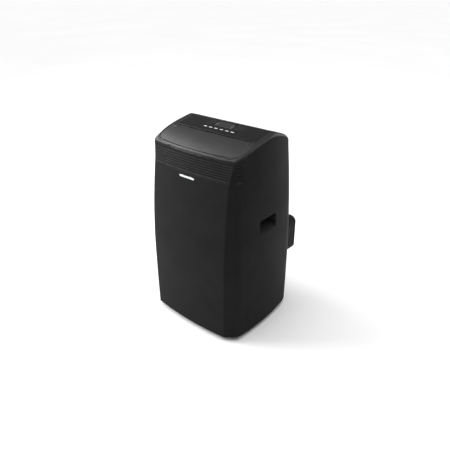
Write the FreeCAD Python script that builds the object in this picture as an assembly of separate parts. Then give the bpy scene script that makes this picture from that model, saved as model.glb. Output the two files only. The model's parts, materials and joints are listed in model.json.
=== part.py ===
import FreeCAD, Part
import math
import os

# Portable air conditioner on casters: a tall plastic cabinet with a leaning front, chamfered front
# corners, a hinged outlet flap and a control area on top, and an exhaust adapter at the rear.
# Millimetres, +Z up, -Y is the front. Modelled with the cabinet's own centre at X = Y = 0; on
# export everything moves by ORIGIN_SHIFT, so that the origin is at the middle of the footprint
# on the floor.

V = FreeCAD.Vector
X_AXIS = V(1, 0, 0)
Y_AXIS = V(0, 1, 0)
Z_AXIS = V(0, 0, 1)

# ---- driving dimensions -------------------------------------------------------------------
HALF_WIDTH = 220.0         # cabinet half-width at its front corners, at WIDEST_Z
WIDEST_Z = 216.0           # height of the widest section
DEEPEST_Z = 272.0          # height of the deepest section
FRONT_Y = -200.8           # front face at X = 0
REAR_Y = 200.0             # rear face
SKIRT_Z = 20.0             # lower edge of the cabinet
SHOULDER_Z = 702.0         # top edge of the front panel
LOFT_TOP_Z = 776.0         # the cabinet form is trimmed below this height
WALL = 3.0                 # moulded wall
SEAM = 0.5                 # gap between mouldings
COVER_GAP = 1.5            # shadow gap between the top cover and the panels below it
FRONT_BOW = 18.8           # how far the front curves back at the full half-width
SIDE_BOW = 11.8            # bulge of each side
SIDE_BOW_TOP = 10.5        # the bulge grows by this towards the top
SIDE_BOW_SHIFT = 12.0      # and moves forward by this
SIDE_TAPER = 10.6          # how much narrower each side is at the rear
CHAMFER_X = 39.8           # front corner chamfer, across
CHAMFER_Y = 26.8           # front corner chamfer, along the side
REAR_CORNER = 52.0         # length of the rear corner curve
FRONT_SPLIT_Y = -112.0     # seam between the front panel and the side panels
REAR_SPLIT_X = 160.0       # seam between the side panels and the rear panel
REAR_PANEL_TOP = 658.0
SCOOP_HALF = 156.0         # half-width of the sloping back between the two cheeks

HINGE_GAP_Y = -39.0        # gap between the flap and the control area
HINGE_GAP_Z = 743.0
CREST_Y = 54.0             # highest line of the cabinet, behind the control area
CREST_Z = 764.0
CONTROL_SLOPE = (CREST_Z - HINGE_GAP_Z) / (CREST_Y - HINGE_GAP_Y)
FLAP_CURVE = 0.00088       # curvature of the flap, front to back

RIB_PITCH = 8.3            # grooves across the top of the front panel
RIB_COUNT = 7
RIB_DEPTH = 1.6
FIRST_GROOVE_Z = SHOULDER_Z - 11.0

FLAP_HALF = 197.6          # the flap's half-length
FLAP_NECK = 171.0          # half-length of its hinge edge, between the stepped rear corners
FLAP_CORNER_Y = -56.0      # rear edge of the stepped corners
FLAP_AXIS_Y = -43.5
FLAP_AXIS_Z = 736.0
FLAP_PIN_R = 1.5
FLAP_PIN_END = 177.0       # the hinge pins end here, on both sides
FLAP_THICK = 3.0
FLAP_REAR_Y = FLAP_AXIS_Y + 1.2
FLAP_OPENING_REAR_Y = FLAP_AXIS_Y + 6.9    # room for the flap's rear edge as it turns

OVERLAY_HALF = 184.0       # half-width of the control area's overlay
BUTTON_COUNT = 6
BUTTON_PITCH = 25.7
BUTTON_Y = -11.0
BUTTON_SIZE = (17.0, 7.0)
DISPLAY_Y = 24.0
DISPLAY_SIZE = (64.0, 32.0)

GRIP_Y = (-45.0, 58.0)     # finger opening of the side grips
GRIP_Z = (415.0, 470.0)
GRIP_DEPTH = 52.0
GRIP_FLOOR_RISE = 24.0

ADAPTER_CENTRE = (84.0, 275.0)   # X and Z of the exhaust adapter
ADAPTER_SIZE = (156.0, 152.0)
ADAPTER_CORNER = 25.0
ADAPTER_REAR_Y = 283.0
HOSE_BORE_R = 68.0
ORIGIN_SHIFT = (FRONT_Y + ADAPTER_REAR_Y) / 2

CASTERS = {"fl": (-160.0, -122.0), "fr": (160.0, -122.0), "rl": (-152.0, 142.0), "rr": (152.0, 142.0)}
CASTER_WHEEL_R = 20.0
CASTER_TRAIL = 13.0
CASTER_STEM_R = 4.0
PAN_Z = 45.0               # underside of the base pan
RUNNING = 0.06             # radial running clearance of pins and axles

VANE_XS = (-120.0, -60.0, 0.0, 60.0, 120.0)
VANE_PIVOT_Z = 668.0
VANE_HEIGHT = 36.0
DUCT_Y = (-143.0, -62.0)
DUCT_HALF = 165.0
LINK_DROP = 13.0           # vane link below the vane pivots
LINK_Y = -102.0

UPPER_INTAKE = (-150.0, 150.0, 385.0, 625.0)     # X and Z limits of the openings in the rear
LOWER_INTAKE = (-150.0, -22.0, 84.0, 335.0)
GLAND_X = -120.0
GLAND_Z = 68.0
DRAIN_X = -80.0
DRAIN_ZS = (356.0, 59.0)
DRAIN_R = 9.0
SCREW_X = 155.5

COMPRESSOR_XY = (-85.0, -55.0)
SUCTION_XY = (3.0, 118.0)  # where the suction pipe rises through the partition
EVAPORATOR_FAN = V(0, -92, 505)
EVAPORATOR_FAN_R = 92.0
CONDENSER_FAN = V(84, 20, 215)
CONDENSER_FAN_R = 85.0

nodes = {}


# ---- small helpers ------------------------------------------------------------------------
def box(x0, x1, y0, y1, z0, z1):
    return Part.makeBox(x1 - x0, y1 - y0, z1 - z0, V(x0, y0, z0))


def cylinder(radius, length, start, axis=Z_AXIS):
    return Part.makeCylinder(radius, length, start, axis)


def tube(outer, inner, length, start, axis=Z_AXIS):
    return cylinder(outer, length, start, axis).cut(cylinder(inner, length, start, axis))


def line(a, b):
    return Part.LineSegment(a, b).toShape()


def quadratic(a, control, b):
    curve = Part.BezierCurve()
    curve.setPoles([a, control, b])
    return curve.toShape()


def rounded_prism(x0, x1, z0, z1, radius, y0, y1):
    """A block along Y with its four long edges rounded."""
    block = box(x0, x1, y0, y1, z0, z1)
    long_edges = [e for e in block.Edges if abs(e.tangentAt(e.FirstParameter).y) > 0.99]
    return block.makeFillet(radius, long_edges)


def rounded_plate(size_x, size_y, thickness, radius):
    """A plate centred on the origin, with its top face at Z = 0."""
    block = box(-size_x / 2, size_x / 2, -size_y / 2, size_y / 2, -thickness, 0)
    upright = [e for e in block.Edges if abs(e.tangentAt(e.FirstParameter).z) > 0.99]
    return block.makeFillet(radius, upright)


def pipe(points, radius, bend):
    """A round pipe of straight runs joined by tangent arcs."""
    path = []
    start = points[0]
    for i in range(1, len(points) - 1):
        corner = points[i]
        back = (points[i - 1] - corner).normalize()
        ahead = (points[i + 1] - corner).normalize()
        half_turn = (math.pi - back.getAngle(ahead)) / 2
        cut = bend * math.tan(half_turn)
        middle_dir = (back + ahead).normalize()
        middle = corner + middle_dir * (bend / math.cos(half_turn) - bend)
        first = corner + back * cut
        last = corner + ahead * cut
        path.append(line(start, first))
        path.append(Part.Arc(first, middle, last).toShape())
        start = last
    path.append(line(start, points[-1]))
    profile = Part.Wire(Part.makeCircle(radius, points[0], points[1] - points[0]))
    return Part.Wire(path).makePipeShell([profile], True, False)


def mirrored(shape):
    return shape.mirror(V(0, 0, 0), X_AXIS)


def union(shapes):
    result = shapes[0]
    for shape in shapes[1:]:
        result = result.fuse(shape)
    return result.removeSplitter()


# ---- the cabinet's form -------------------------------------------------------------------
def side_lean(z):
    """How far each side leans in at height z."""
    if z > WIDEST_Z:
        return 25.1 * ((z - WIDEST_Z) / 492.0) ** 2
    return 2.1 * ((WIDEST_Z - z) / 196.0) ** 2


def rise_from_widest(z):
    """How far z is above the widest section, squared, 1 near the shoulder."""
    return (max(0.0, z - WIDEST_Z) / 492.0) ** 2


def front_lean(z):
    """How far the front leans back at height z."""
    if z > DEEPEST_Z:
        return 39.8 * ((z - DEEPEST_Z) / 436.0) ** 2
    return 1.5 * ((DEEPEST_Z - z) / 252.0) ** 2


def chamfer_scale(z):
    """The corner chamfer narrows towards the top, and faster beside the grooves."""
    narrowing = 0.63 * max(0.0, (z - 200.0) / 509.0) ** 2
    closing = 0.35 * max(0.0, (z - 610.0) / 100.0) ** 2
    return max(0.1, 1.0 - narrowing - closing)


def corner_points(z, inset):
    """The right half of the plan outline: chamfer start and end, side end, rear corner end."""
    half = HALF_WIDTH - side_lean(z) - inset
    front = FRONT_Y + front_lean(z) + inset
    rear = REAR_Y - inset
    scale = chamfer_scale(z)
    chamfer_x = half - CHAMFER_X * scale
    chamfer_start = V(chamfer_x, front + FRONT_BOW * (chamfer_x / HALF_WIDTH) ** 2, z)
    chamfer_end = V(half, front + FRONT_BOW + CHAMFER_Y * scale, z)
    side_end = V(half - SIDE_TAPER, rear - REAR_CORNER, z)
    rear_end = V(side_end.x - REAR_CORNER, rear, z)
    return front, chamfer_start, chamfer_end, side_end, rear_end


def flipped(p):
    return V(-p.x, p.y, p.z)


def outline(z, inset=0.0):
    """The closed plan outline of the cabinet at height z."""
    front, start, end, side, rear = corner_points(z, inset)
    bow = V(0, 2 * front - start.y, z)
    rise = rise_from_widest(z)
    bow_out = SIDE_BOW + SIDE_BOW_TOP * rise
    bulge = V((end.x + side.x) / 2 + 2 * bow_out, (end.y + side.y) / 2 - SIDE_BOW_SHIFT * rise, z)
    run_out = (side.x - bulge.x) / (side.y - bulge.y)
    knuckle = V(side.x + run_out * REAR_CORNER, rear.y, z)
    edges = [
        quadratic(flipped(start), bow, start),
        line(start, end),
        quadratic(end, bulge, side),
        quadratic(side, knuckle, rear),
        line(rear, flipped(rear)),
        quadratic(flipped(rear), flipped(knuckle), flipped(side)),
        quadratic(flipped(side), flipped(bulge), flipped(end)),
        line(flipped(end), flipped(start)),
    ]
    return Part.Wire(edges)


def cabinet_form(inset=0.0, bottom=SKIRT_Z):
    """The cabinet's form as one solid, taller than the cabinet; the top is trimmed later."""
    levels = [bottom, 130.0, 240.0, 360.0, 480.0, 600.0, 660.0, 705.0, LOFT_TOP_Z]
    return Part.makeLoft([outline(z, inset) for z in levels], True, False)


def extruded_profile(edges, half=260.0):
    """A closed profile in the YZ plane, extruded along X."""
    face = Part.Face(Part.Wire(edges))
    face.translate(V(-half, 0, 0))
    return face.extrude(V(2 * half, 0, 0))


def below_rim(offset=0.0):
    """Everything under the top edge of the side panels, raised by offset."""
    def at(y, z):
        return V(0, y, z + offset)
    edges = [
        line(at(-260, SHOULDER_Z), at(-142, SHOULDER_Z)),
        quadratic(at(-142, SHOULDER_Z), at(-128, 707), at(-112, 713.6)),
        line(at(-112, 713.6), at(-36, 738)),
        quadratic(at(-36, 738), at(6, 751.4), at(45, 747.6)),
        quadratic(at(45, 747.6), at(95, 742.5), at(155, 718)),
        quadratic(at(155, 718), at(185, 700), at(200, 676)),
        line(at(200, 676), at(260, 580)),
        line(at(260, 580), V(0, 260, -50)),
        line(V(0, 260, -50), V(0, -260, -50)),
        line(V(0, -260, -50), at(-260, SHOULDER_Z)),
    ]
    return extruded_profile(edges)


def front_top_z(y):
    """Height of the top surface in front of the crest: a straight control area, a curved flap."""
    run = y - HINGE_GAP_Y
    if run < 0:
        return HINGE_GAP_Z + CONTROL_SLOPE * run - FLAP_CURVE * run ** 2
    return HINGE_GAP_Z + CONTROL_SLOPE * run


def below_front_top(drop):
    """Everything under the top surface in front of the crest, lowered by drop."""
    y0 = -240.0
    middle = (y0 + HINGE_GAP_Y) / 2
    pull = V(0, middle, HINGE_GAP_Z + CONTROL_SLOPE * (middle - HINGE_GAP_Y) - drop)
    front = V(0, y0, front_top_z(y0) - drop)
    hinge = V(0, HINGE_GAP_Y, HINGE_GAP_Z - drop)
    crest = V(0, CREST_Y, CREST_Z - drop)
    return extruded_profile([
        quadratic(front, pull, hinge),
        line(hinge, crest),
        line(crest, V(0, CREST_Y, 0)),
        line(V(0, CREST_Y, 0), V(0, y0, 0)),
        line(V(0, y0, 0), front),
    ])


def below_rear_top(drop):
    """Everything under the cover behind the crest: two raised cheeks with a sloping back between."""
    def at(y, z):
        return V(0, y, z - drop)
    cheeks = extruded_profile([
        line(at(CREST_Y, CREST_Z), at(62, 761)),
        quadratic(at(62, 761), at(122, 744), at(155, 722)),
        quadratic(at(155, 722), at(186, 702), at(202, 676)),
        line(at(202, 676), V(0, 202, 0)),
        line(V(0, 202, 0), V(0, CREST_Y, 0)),
        line(V(0, CREST_Y, 0), at(CREST_Y, CREST_Z)),
    ])
    scoop_half = SCOOP_HALF + drop
    scoop = extruded_profile([
        line(at(CREST_Y + 8, CREST_Z + 40), at(CREST_Y + 8, CREST_Z - 4)),
        line(at(CREST_Y + 8, CREST_Z - 4), at(210, 652)),
        line(at(210, 652), at(210, CREST_Z + 40)),
        line(at(210, CREST_Z + 40), at(CREST_Y + 8, CREST_Z + 40)),
    ], scoop_half)
    return cheeks.cut(scoop)


def below_top(drop=0.0):
    return below_front_top(drop).fuse(below_rear_top(drop))


def flap_outline(margin, rear_y, z):
    """Plan outline of the flap, grown by margin all round; its rear corners are stepped."""
    half = FLAP_HALF + margin
    neck = FLAP_NECK + margin
    front = V(105.0, -145.0 - margin, z)
    shoulder = V(150.0, -141.0 - margin, z)
    side = V(half, -95.0, z)
    corner = V(half, FLAP_CORNER_Y + margin, z)
    step = V(neck, FLAP_CORNER_Y + margin, z)
    rear = V(neck, rear_y, z)
    blend = V(130.0, -143.9 - margin, z)
    knuckle = V(half - 5.0, -136.5 - margin, z)
    edges = [
        quadratic(flipped(front), V(0, -149.8 - margin, z), front),
        quadratic(front, blend, shoulder),
        quadratic(shoulder, knuckle, side),
        line(side, corner),
        line(corner, step),
        line(step, rear),
        line(rear, flipped(rear)),
        line(flipped(rear), flipped(step)),
        line(flipped(step), flipped(corner)),
        line(flipped(corner), flipped(side)),
        quadratic(flipped(side), flipped(knuckle), flipped(shoulder)),
        quadratic(flipped(shoulder), flipped(blend), flipped(front)),
    ]
    return Part.Wire(edges)


def flap_prism(margin, rear_y):
    return Part.Face(flap_outline(margin, rear_y, 640.0)).extrude(V(0, 0, 140))


OUTER_FORM = cabinet_form()
INNER_FORM = cabinet_form(WALL, SKIRT_Z - 5.0)
SHELL = OUTER_FORM.cut(INNER_FORM)


def control_frame(x, y, lift=0.0):
    """A placement on the control area: local Z is the surface normal."""
    tilt = math.degrees(math.atan(CONTROL_SLOPE))
    rotation = FreeCAD.Rotation(X_AXIS, tilt)
    base = V(x, y, HINGE_GAP_Z + CONTROL_SLOPE * (y - HINGE_GAP_Y))
    return FreeCAD.Placement(base + rotation.multVec(V(0, 0, lift)), rotation)


def placed(shape, placement):
    moved = shape.copy()
    moved.Placement = placement
    return moved


def button_xs():
    return [(i - (BUTTON_COUNT - 1) / 2) * BUTTON_PITCH for i in range(BUTTON_COUNT)]


# ---- cabinet panels -----------------------------------------------------------------------
def rib_groove(z):
    """The material between two outlines at height z: one groove all round the cabinet."""
    half_groove = RIB_PITCH * 0.28
    outer = Part.Face(outline(z, -4.0)).extrude(V(0, 0, 2 * half_groove))
    inner = Part.Face(outline(z, RIB_DEPTH)).extrude(V(0, 0, 2 * half_groove))
    ring = outer.cut(inner)
    ring.translate(V(0, 0, -half_groove))
    return ring


def front_panel():
    region = box(-260, 260, -260, FRONT_SPLIT_Y, 0, 760)
    panel = SHELL.common(region).common(below_rim())
    for i in range(RIB_COUNT):
        groove = rib_groove(FIRST_GROOVE_Z - i * RIB_PITCH)
        panel = panel.cut(groove)
    return panel


def right_side_panel():
    region = box(0, 260, FRONT_SPLIT_Y + SEAM, 260, 0, 760)
    region = region.cut(box(-10, REAR_SPLIT_X, 100, 260, 0, 790))
    panel = SHELL.common(region).common(below_rim())
    panel = panel.cut(box(150, 260, GRIP_Y[0] - 3, GRIP_Y[1] + 3, GRIP_Z[0] - 3, GRIP_Z[1] + 3))
    return panel


def rear_panel():
    region = box(-REAR_SPLIT_X + SEAM, REAR_SPLIT_X - SEAM, 100, 260, 0, REAR_PANEL_TOP)
    panel = SHELL.common(region)
    for x0, x1, z0, z1 in (UPPER_INTAKE, LOWER_INTAKE):
        panel = panel.cut(box(x0, x1, 150, 260, z0, z1))
    hose = cylinder(HOSE_BORE_R + 1.0, 100, V(ADAPTER_CENTRE[0], 150, ADAPTER_CENTRE[1]), Y_AXIS)
    panel = panel.cut(hose)
    gland = cylinder(9.0 + SEAM, 100, V(GLAND_X, 150, GLAND_Z), Y_AXIS)
    panel = panel.cut(gland)
    for z in DRAIN_ZS:
        panel = panel.cut(cylinder(DRAIN_R + SEAM, 100, V(DRAIN_X, 150, z), Y_AXIS))
    return panel


def grip_pocket():
    """A moulded finger pocket whose floor rises inwards."""
    y0, y1 = GRIP_Y
    z0, z1 = GRIP_Z
    floor_x = HALF_WIDTH - GRIP_DEPTH
    block = box(floor_x - 3, 240, y0 - 2.6, y1 + 2.6, z0 - 2.6, z1 + 2.6).common(OUTER_FORM)
    corners = [V(250, y0, z0 - 1), V(floor_x, y0, z0 + GRIP_FLOOR_RISE), V(floor_x, y0, z1 - 14)]
    corners += [V(floor_x + 14, y0, z1), V(250, y0, z1), V(250, y0, z0 - 1)]
    cavity = Part.Face(Part.makePolygon(corners)).extrude(V(0, y1 - y0, 0))
    upright = [e for e in cavity.Edges if abs(e.tangentAt(e.FirstParameter).y) < 0.01]
    top_edges = [e for e in upright if e.CenterOfMass.z > z1 - 0.1 and e.Length > 20]
    cavity = cavity.makeFillet(10.0, top_edges)
    return block.cut(cavity)


def top_cover():
    layer = below_top().cut(below_top(WALL))
    cover = OUTER_FORM.common(below_top()).cut(INNER_FORM.common(below_top(WALL)))
    cover = cover.cut(below_rim(COVER_GAP))
    back = box(-SCOOP_HALF - WALL, SCOOP_HALF + WALL, CREST_Y, 260, REAR_PANEL_TOP + SEAM, 780)
    cover = cover.fuse(OUTER_FORM.common(layer).common(back))
    cover = cover.cut(flap_prism(1.2, FLAP_OPENING_REAR_Y))
    overlay = control_outline_prism(SEAM).common(below_top(-20)).cut(below_top(1.5))
    cover = cover.cut(overlay)
    for x in button_xs():
        hole = rounded_plate(BUTTON_SIZE[0] + 1.6, BUTTON_SIZE[1] + 1.6, 20, 1.5)
        cover = cover.cut(placed(hole, control_frame(x, BUTTON_Y, 8)))
    window = rounded_plate(DISPLAY_SIZE[0] - 6, DISPLAY_SIZE[1] - 6, 20, 2)
    cover = cover.cut(placed(window, control_frame(0, DISPLAY_Y, 8)))
    for side in (-1, 1):
        x0, x1 = sorted((side * (FLAP_NECK + 1.2), side * (FLAP_PIN_END + 1.5)))
        boss = box(x0, x1, FLAP_AXIS_Y - 6, FLAP_AXIS_Y + 6, FLAP_AXIS_Z - 6, FLAP_AXIS_Z + 6)
        boss = boss.common(below_top(0.1)).common(INNER_FORM)
        cover = cover.fuse(boss)
    bore_start = V(-FLAP_PIN_END - 0.5, FLAP_AXIS_Y, FLAP_AXIS_Z)
    bore = cylinder(FLAP_PIN_R + RUNNING, 2 * FLAP_PIN_END + 1.0, bore_start, X_AXIS)
    return cover.cut(bore).removeSplitter()


def control_outline_prism(margin):
    half = OVERLAY_HALF + margin
    y0 = FLAP_OPENING_REAR_Y + 2.0 - margin
    y1 = CREST_Y - 4.0 + margin
    block = box(-half, half, y0, y1, 700, 800)
    upright = [e for e in block.Edges if abs(e.tangentAt(e.FirstParameter).z) > 0.99]
    return block.makeFillet(6.0, upright)


def control_panel():
    """The thin glossy overlay of the control area, with holes for the keys and the display."""
    panel = control_outline_prism(0).common(below_top()).cut(below_top(1.4))
    for x in button_xs():
        hole = rounded_plate(BUTTON_SIZE[0] + 1.0, BUTTON_SIZE[1] + 1.0, 20, 1.5)
        panel = panel.cut(placed(hole, control_frame(x, BUTTON_Y, 8)))
    window = rounded_plate(DISPLAY_SIZE[0] + 0.8, DISPLAY_SIZE[1] + 0.8, 20, 2)
    return panel.cut(placed(window, control_frame(0, DISPLAY_Y, 8)))


def display_lens():
    lens = rounded_plate(DISPLAY_SIZE[0], DISPLAY_SIZE[1], 1.3, 2)
    return placed(lens, control_frame(0, DISPLAY_Y, -0.05))


def button(x):
    """A key cap with a stem that reaches towards the control board."""
    cap = rounded_plate(BUTTON_SIZE[0], BUTTON_SIZE[1], 4.0, 1.2)
    stem = rounded_plate(8.0, 4.0, 8.0, 1.0)
    key = cap.fuse(stem).removeSplitter()
    return placed(key, control_frame(x, BUTTON_Y, 1.0))


def flap():
    """The outlet flap: a thin crowned lid with a stub pin at each end of its rear edge."""
    lid = flap_prism(0, FLAP_REAR_Y).common(below_top()).cut(below_top(FLAP_THICK))
    for side in (-1, 1):
        root = side * (FLAP_NECK - 14.0)
        tip = side * FLAP_PIN_END
        shoulder = side * (FLAP_NECK - 0.3)
        pin = cylinder(FLAP_PIN_R, abs(tip - root), V(min(tip, root), FLAP_AXIS_Y, FLAP_AXIS_Z), X_AXIS)
        knuckle_start = V(min(root, shoulder), FLAP_AXIS_Y, FLAP_AXIS_Z)
        knuckle = cylinder(FLAP_PIN_R + 1.6, abs(shoulder - root), knuckle_start, X_AXIS)
        web = box(min(root, shoulder), max(root, shoulder), FLAP_AXIS_Y - 3.1, FLAP_REAR_Y,
                  FLAP_AXIS_Z, FLAP_AXIS_Z + 8)
        lid = lid.fuse(knuckle).fuse(web.common(below_top(0.3))).fuse(pin)
    return lid.removeSplitter()


def badge():
    """A plain raised bar on the front panel."""
    z = 616.0
    block = rounded_prism(-35, 35, z - 3.5, z + 3.5, 3.0, -230, -100)
    return block.common(cabinet_form(-1.2)).cut(cabinet_form(-0.05))


# ---- air outlet ---------------------------------------------------------------------------
def outlet_duct():
    y0, y1 = DUCT_Y
    shell = box(-DUCT_HALF, DUCT_HALF, y0, y1, 612, 698)
    shell = shell.cut(box(-DUCT_HALF + 2.5, DUCT_HALF - 2.5, y0 + 2.5, y1 - 2.5, 600, 710))
    for x in VANE_XS:
        shell = shell.cut(cylinder(2.0 + RUNNING, 120, V(x, y0 - 10, VANE_PIVOT_Z), Y_AXIS))
    return shell


def vane(x):
    """A guide vane on two stub pins, with a window for the link."""
    y0 = DUCT_Y[0] + 3.5
    y1 = DUCT_Y[1] - 3.5
    half = VANE_HEIGHT / 2
    blade = box(x - 1.25, x + 1.25, y0, y1, VANE_PIVOT_Z - half, VANE_PIVOT_Z + half)
    link_z = VANE_PIVOT_Z - LINK_DROP
    blade = blade.cut(box(x - 5, x + 5, LINK_Y - 6, LINK_Y + 6, link_z - 8, link_z + 4.5))
    hub = cylinder(2.6, y1 - y0, V(x, y0, VANE_PIVOT_Z), Y_AXIS)
    pin = cylinder(2.0, DUCT_Y[1] - DUCT_Y[0] - 1.0, V(x, DUCT_Y[0] + 0.5, VANE_PIVOT_Z), Y_AXIS)
    return union([blade, hub, pin])


def vane_link():
    """The bar that turns the vanes together, with two pegs beside each vane."""
    z = VANE_PIVOT_Z - LINK_DROP
    bar = box(VANE_XS[0] - 8, VANE_XS[-1] + 8, LINK_Y - 2.5, LINK_Y + 2.5, z - 1.5, z + 1.5)
    pieces = [bar]
    for x in VANE_XS:
        for side in (-1, 1):
            centre = x + side * 4.2
            pieces.append(box(centre - 1, centre + 1, LINK_Y - 8, LINK_Y + 8, z - 1.5, z + 1.5))
    return union(pieces)


# ---- running gear -------------------------------------------------------------------------
def base_pan():
    """The tray that carries the compressor, the condenser and the four casters."""
    floor = INNER_FORM.common(box(-260, 260, -260, 260, PAN_Z, PAN_Z + 22))
    walls_inner = cabinet_form(WALL + 4.0, SKIRT_Z - 5.0).common(box(-260, 260, -260, 260, PAN_Z + 5, 100))
    pan = floor.cut(walls_inner)
    for x, y in CASTERS.values():
        pan = pan.fuse(cylinder(15, 20, V(x, y, PAN_Z)))
    for x, y in CASTERS.values():
        pan = pan.cut(cylinder(CASTER_STEM_R + RUNNING, 18, V(x, y, PAN_Z - 1)))
    pan = pan.cut(cylinder(DRAIN_R + SEAM, 40, V(DRAIN_X, 175, DRAIN_ZS[1]), Y_AXIS))
    pan = pan.cut(cylinder(9.0 + SEAM, 40, V(GLAND_X, 175, GLAND_Z), Y_AXIS))
    clearance = cabinet_form(WALL + 0.4, SKIRT_Z - 5.0)
    return pan.common(clearance).removeSplitter()


def caster_fork(x, y):
    """A twin-wheel caster's body: centre fin, swivel plate and stem."""
    axle_y = y + CASTER_TRAIL
    fin = box(x - 3, x + 3, y - 8, axle_y + 7, 13, 42)
    fin = fin.cut(cylinder(3.0 + RUNNING, 20, V(x - 10, axle_y, CASTER_WHEEL_R), X_AXIS))
    plate = cylinder(13, 3, V(x, y, 41.5))
    stem = cylinder(CASTER_STEM_R, 18, V(x, y, 43))
    return union([fin, plate, stem])


def caster_wheels(x, y):
    """Two wheels on one axle."""
    axle_y = y + CASTER_TRAIL
    pieces = []
    for side in (-1, 1):
        inner = x + side * 3.8
        outer = x + side * 12.3
        wheel = cylinder(CASTER_WHEEL_R, 8.5, V(min(inner, outer), axle_y, CASTER_WHEEL_R), X_AXIS)
        rims = [e for e in wheel.Edges if isinstance(e.Curve, Part.Circle)]
        pieces.append(wheel.makeFillet(2.0, rims))
    axle = cylinder(3.0, 16, V(x - 8, axle_y, CASTER_WHEEL_R), X_AXIS)
    return union(pieces + [axle])


# ---- rear fittings ------------------------------------------------------------------------
def grille(limits, slat_pitch=11.0):
    """A removable intake grille: a frame with horizontal slats and two uprights."""
    x0, x1, z0, z1 = limits
    x0, x1, z0, z1 = x0 + SEAM, x1 - SEAM, z0 + SEAM, z1 - SEAM
    border = 7.0
    frame = box(x0, x1, 196.5, 200.5, z0, z1)
    frame = frame.cut(box(x0 + border, x1 - border, 190, 210, z0 + border, z1 - border))
    count = int((z1 - z0 - 2 * border) / slat_pitch)
    pitch = (z1 - z0 - 2 * border) / count
    slats = []
    for i in range(1, count):
        z = z0 + border + i * pitch
        slats.append(box(x0 + 4, x1 - 4, 197, 200, z - 1.6, z + 1.6))
    for i in (1, 2):
        x = x0 + (x1 - x0) * i / 3
        slats.append(box(x - 2, x + 2, 196.8, 199.5, z0 + 4, z1 - 4))
    return union([frame] + slats)


def air_filter(limits):
    """A thin mesh filter behind a grille, in a frame of its own."""
    x0, x1, z0, z1 = limits
    return box(x0 + 4, x1 - 4, 192.0, 195.8, z0 + 4, z1 - 4)


def exhaust_adapter():
    """A rounded square collar with a round bore for the hose."""
    cx, cz = ADAPTER_CENTRE
    half_x = ADAPTER_SIZE[0] / 2
    half_z = ADAPTER_SIZE[1] / 2
    body = rounded_prism(cx - half_x, cx + half_x, cz - half_z, cz + half_z, ADAPTER_CORNER,
                         REAR_Y + 0.4, ADAPTER_REAR_Y)
    lip = rounded_prism(cx - half_x - 0.0, cx + half_x, cz - half_z, cz + half_z, ADAPTER_CORNER,
                        ADAPTER_REAR_Y - 5, ADAPTER_REAR_Y)
    groove_ring = rounded_prism(cx - half_x + 1.5, cx + half_x - 1.5, cz - half_z + 1.5,
                                cz + half_z - 1.5, ADAPTER_CORNER - 1.5, ADAPTER_REAR_Y - 8,
                                ADAPTER_REAR_Y - 5)
    neck = box(cx - 200, cx + 200, ADAPTER_REAR_Y - 8, ADAPTER_REAR_Y - 5, cz - 200, cz + 200)
    body = body.cut(neck.cut(groove_ring)).fuse(lip)
    spigot = cylinder(HOSE_BORE_R + 0.4, 20, V(cx, REAR_Y - 12, cz), Y_AXIS)
    body = body.fuse(spigot)
    bore = cylinder(HOSE_BORE_R - 3.0, 120, V(cx, REAR_Y - 20, cz), Y_AXIS)
    socket = cylinder(HOSE_BORE_R, 60, V(cx, ADAPTER_REAR_Y - 60, cz), Y_AXIS)
    return body.cut(bore).cut(socket).removeSplitter()


def cord_gland():
    """A strain-relief bush in the rear panel, ready for a supply cord."""
    flange = cylinder(12, 3, V(GLAND_X, 200.3, GLAND_Z), Y_AXIS)
    body = cylinder(9, 12, V(GLAND_X, 190, GLAND_Z), Y_AXIS)
    bore = cylinder(4.2, 40, V(GLAND_X, 180, GLAND_Z), Y_AXIS)
    return flange.fuse(body.common(box(-200, 0, 190, 201, 0, 100))).cut(bore).removeSplitter()


def drain_spouts():
    """The upper and the lower drain outlet, each a flanged bush."""
    spouts = []
    for z in DRAIN_ZS:
        bush = tube(DRAIN_R, 6.0, 22, V(DRAIN_X, 180, z), Y_AXIS)
        flange = tube(DRAIN_R + 3, 6.0, 2.5, V(DRAIN_X, 200.4, z), Y_AXIS)
        spouts.append(bush.fuse(flange).removeSplitter())
    return Part.makeCompound(spouts)


def drain_plug(z):
    """A rubber plug with a pull tab."""
    body = cylinder(5.94, 18, V(DRAIN_X, 186, z), Y_AXIS)
    head = cylinder(9.5, 3.5, V(DRAIN_X, 203.3, z), Y_AXIS)
    tab = box(DRAIN_X - 3, DRAIN_X + 3, 206, 213, z - 1.5, z + 1.5)
    return union([body, head, tab])


def cord_hooks():
    """Two hooks for winding up the supply cord."""
    hooks = []
    for z, up in ((350.0, 1), (115.0, -1)):
        stem = box(-8, 4, 200.4, 222, z - 4, z + 4)
        lip_z = (z, z + 16) if up > 0 else (z - 16, z)
        lip = box(-8, 4, 218, 222, lip_z[0], lip_z[1])
        hooks.append(stem.fuse(lip).removeSplitter())
    return Part.makeCompound(hooks)


def casing_screws():
    """Pan-head screws that hold the rear panel."""
    screws = []
    for z in (105.0, 365.0, 640.0):
        for side in (-1, 1):
            x = side * SCREW_X
            head = cylinder(3.2, 2.0, V(x, 200.1, z), Y_AXIS)
            slot = box(x - 2.2, x + 2.2, 201.2, 203, z - 0.5, z + 0.5)
            screws.append(head.cut(slot))
    return Part.makeCompound(screws)


# ---- inside -------------------------------------------------------------------------------
def finned_coil(x0, x1, y0, y1, z0, z1, tube_rows):
    """A heat exchanger: end plates, a fin pack and the return bends of its tubes."""
    pieces = [box(x0 + 2, x1 - 2, y0 + 2, y1 - 2, z0 + 2, z1 - 2)]
    pieces.append(box(x0, x0 + 2, y0, y1, z0, z1))
    pieces.append(box(x1 - 2, x1, y0, y1, z0, z1))
    body = union(pieces)
    middle_y = (y0 + y1) / 2
    pitch = (z1 - z0) / tube_rows
    for i in range(tube_rows):
        z = z0 + (i + 0.5) * pitch
        body = body.fuse(cylinder(4.0, 8, V(x1 - 1, middle_y, z), X_AXIS))
    return body


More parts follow.
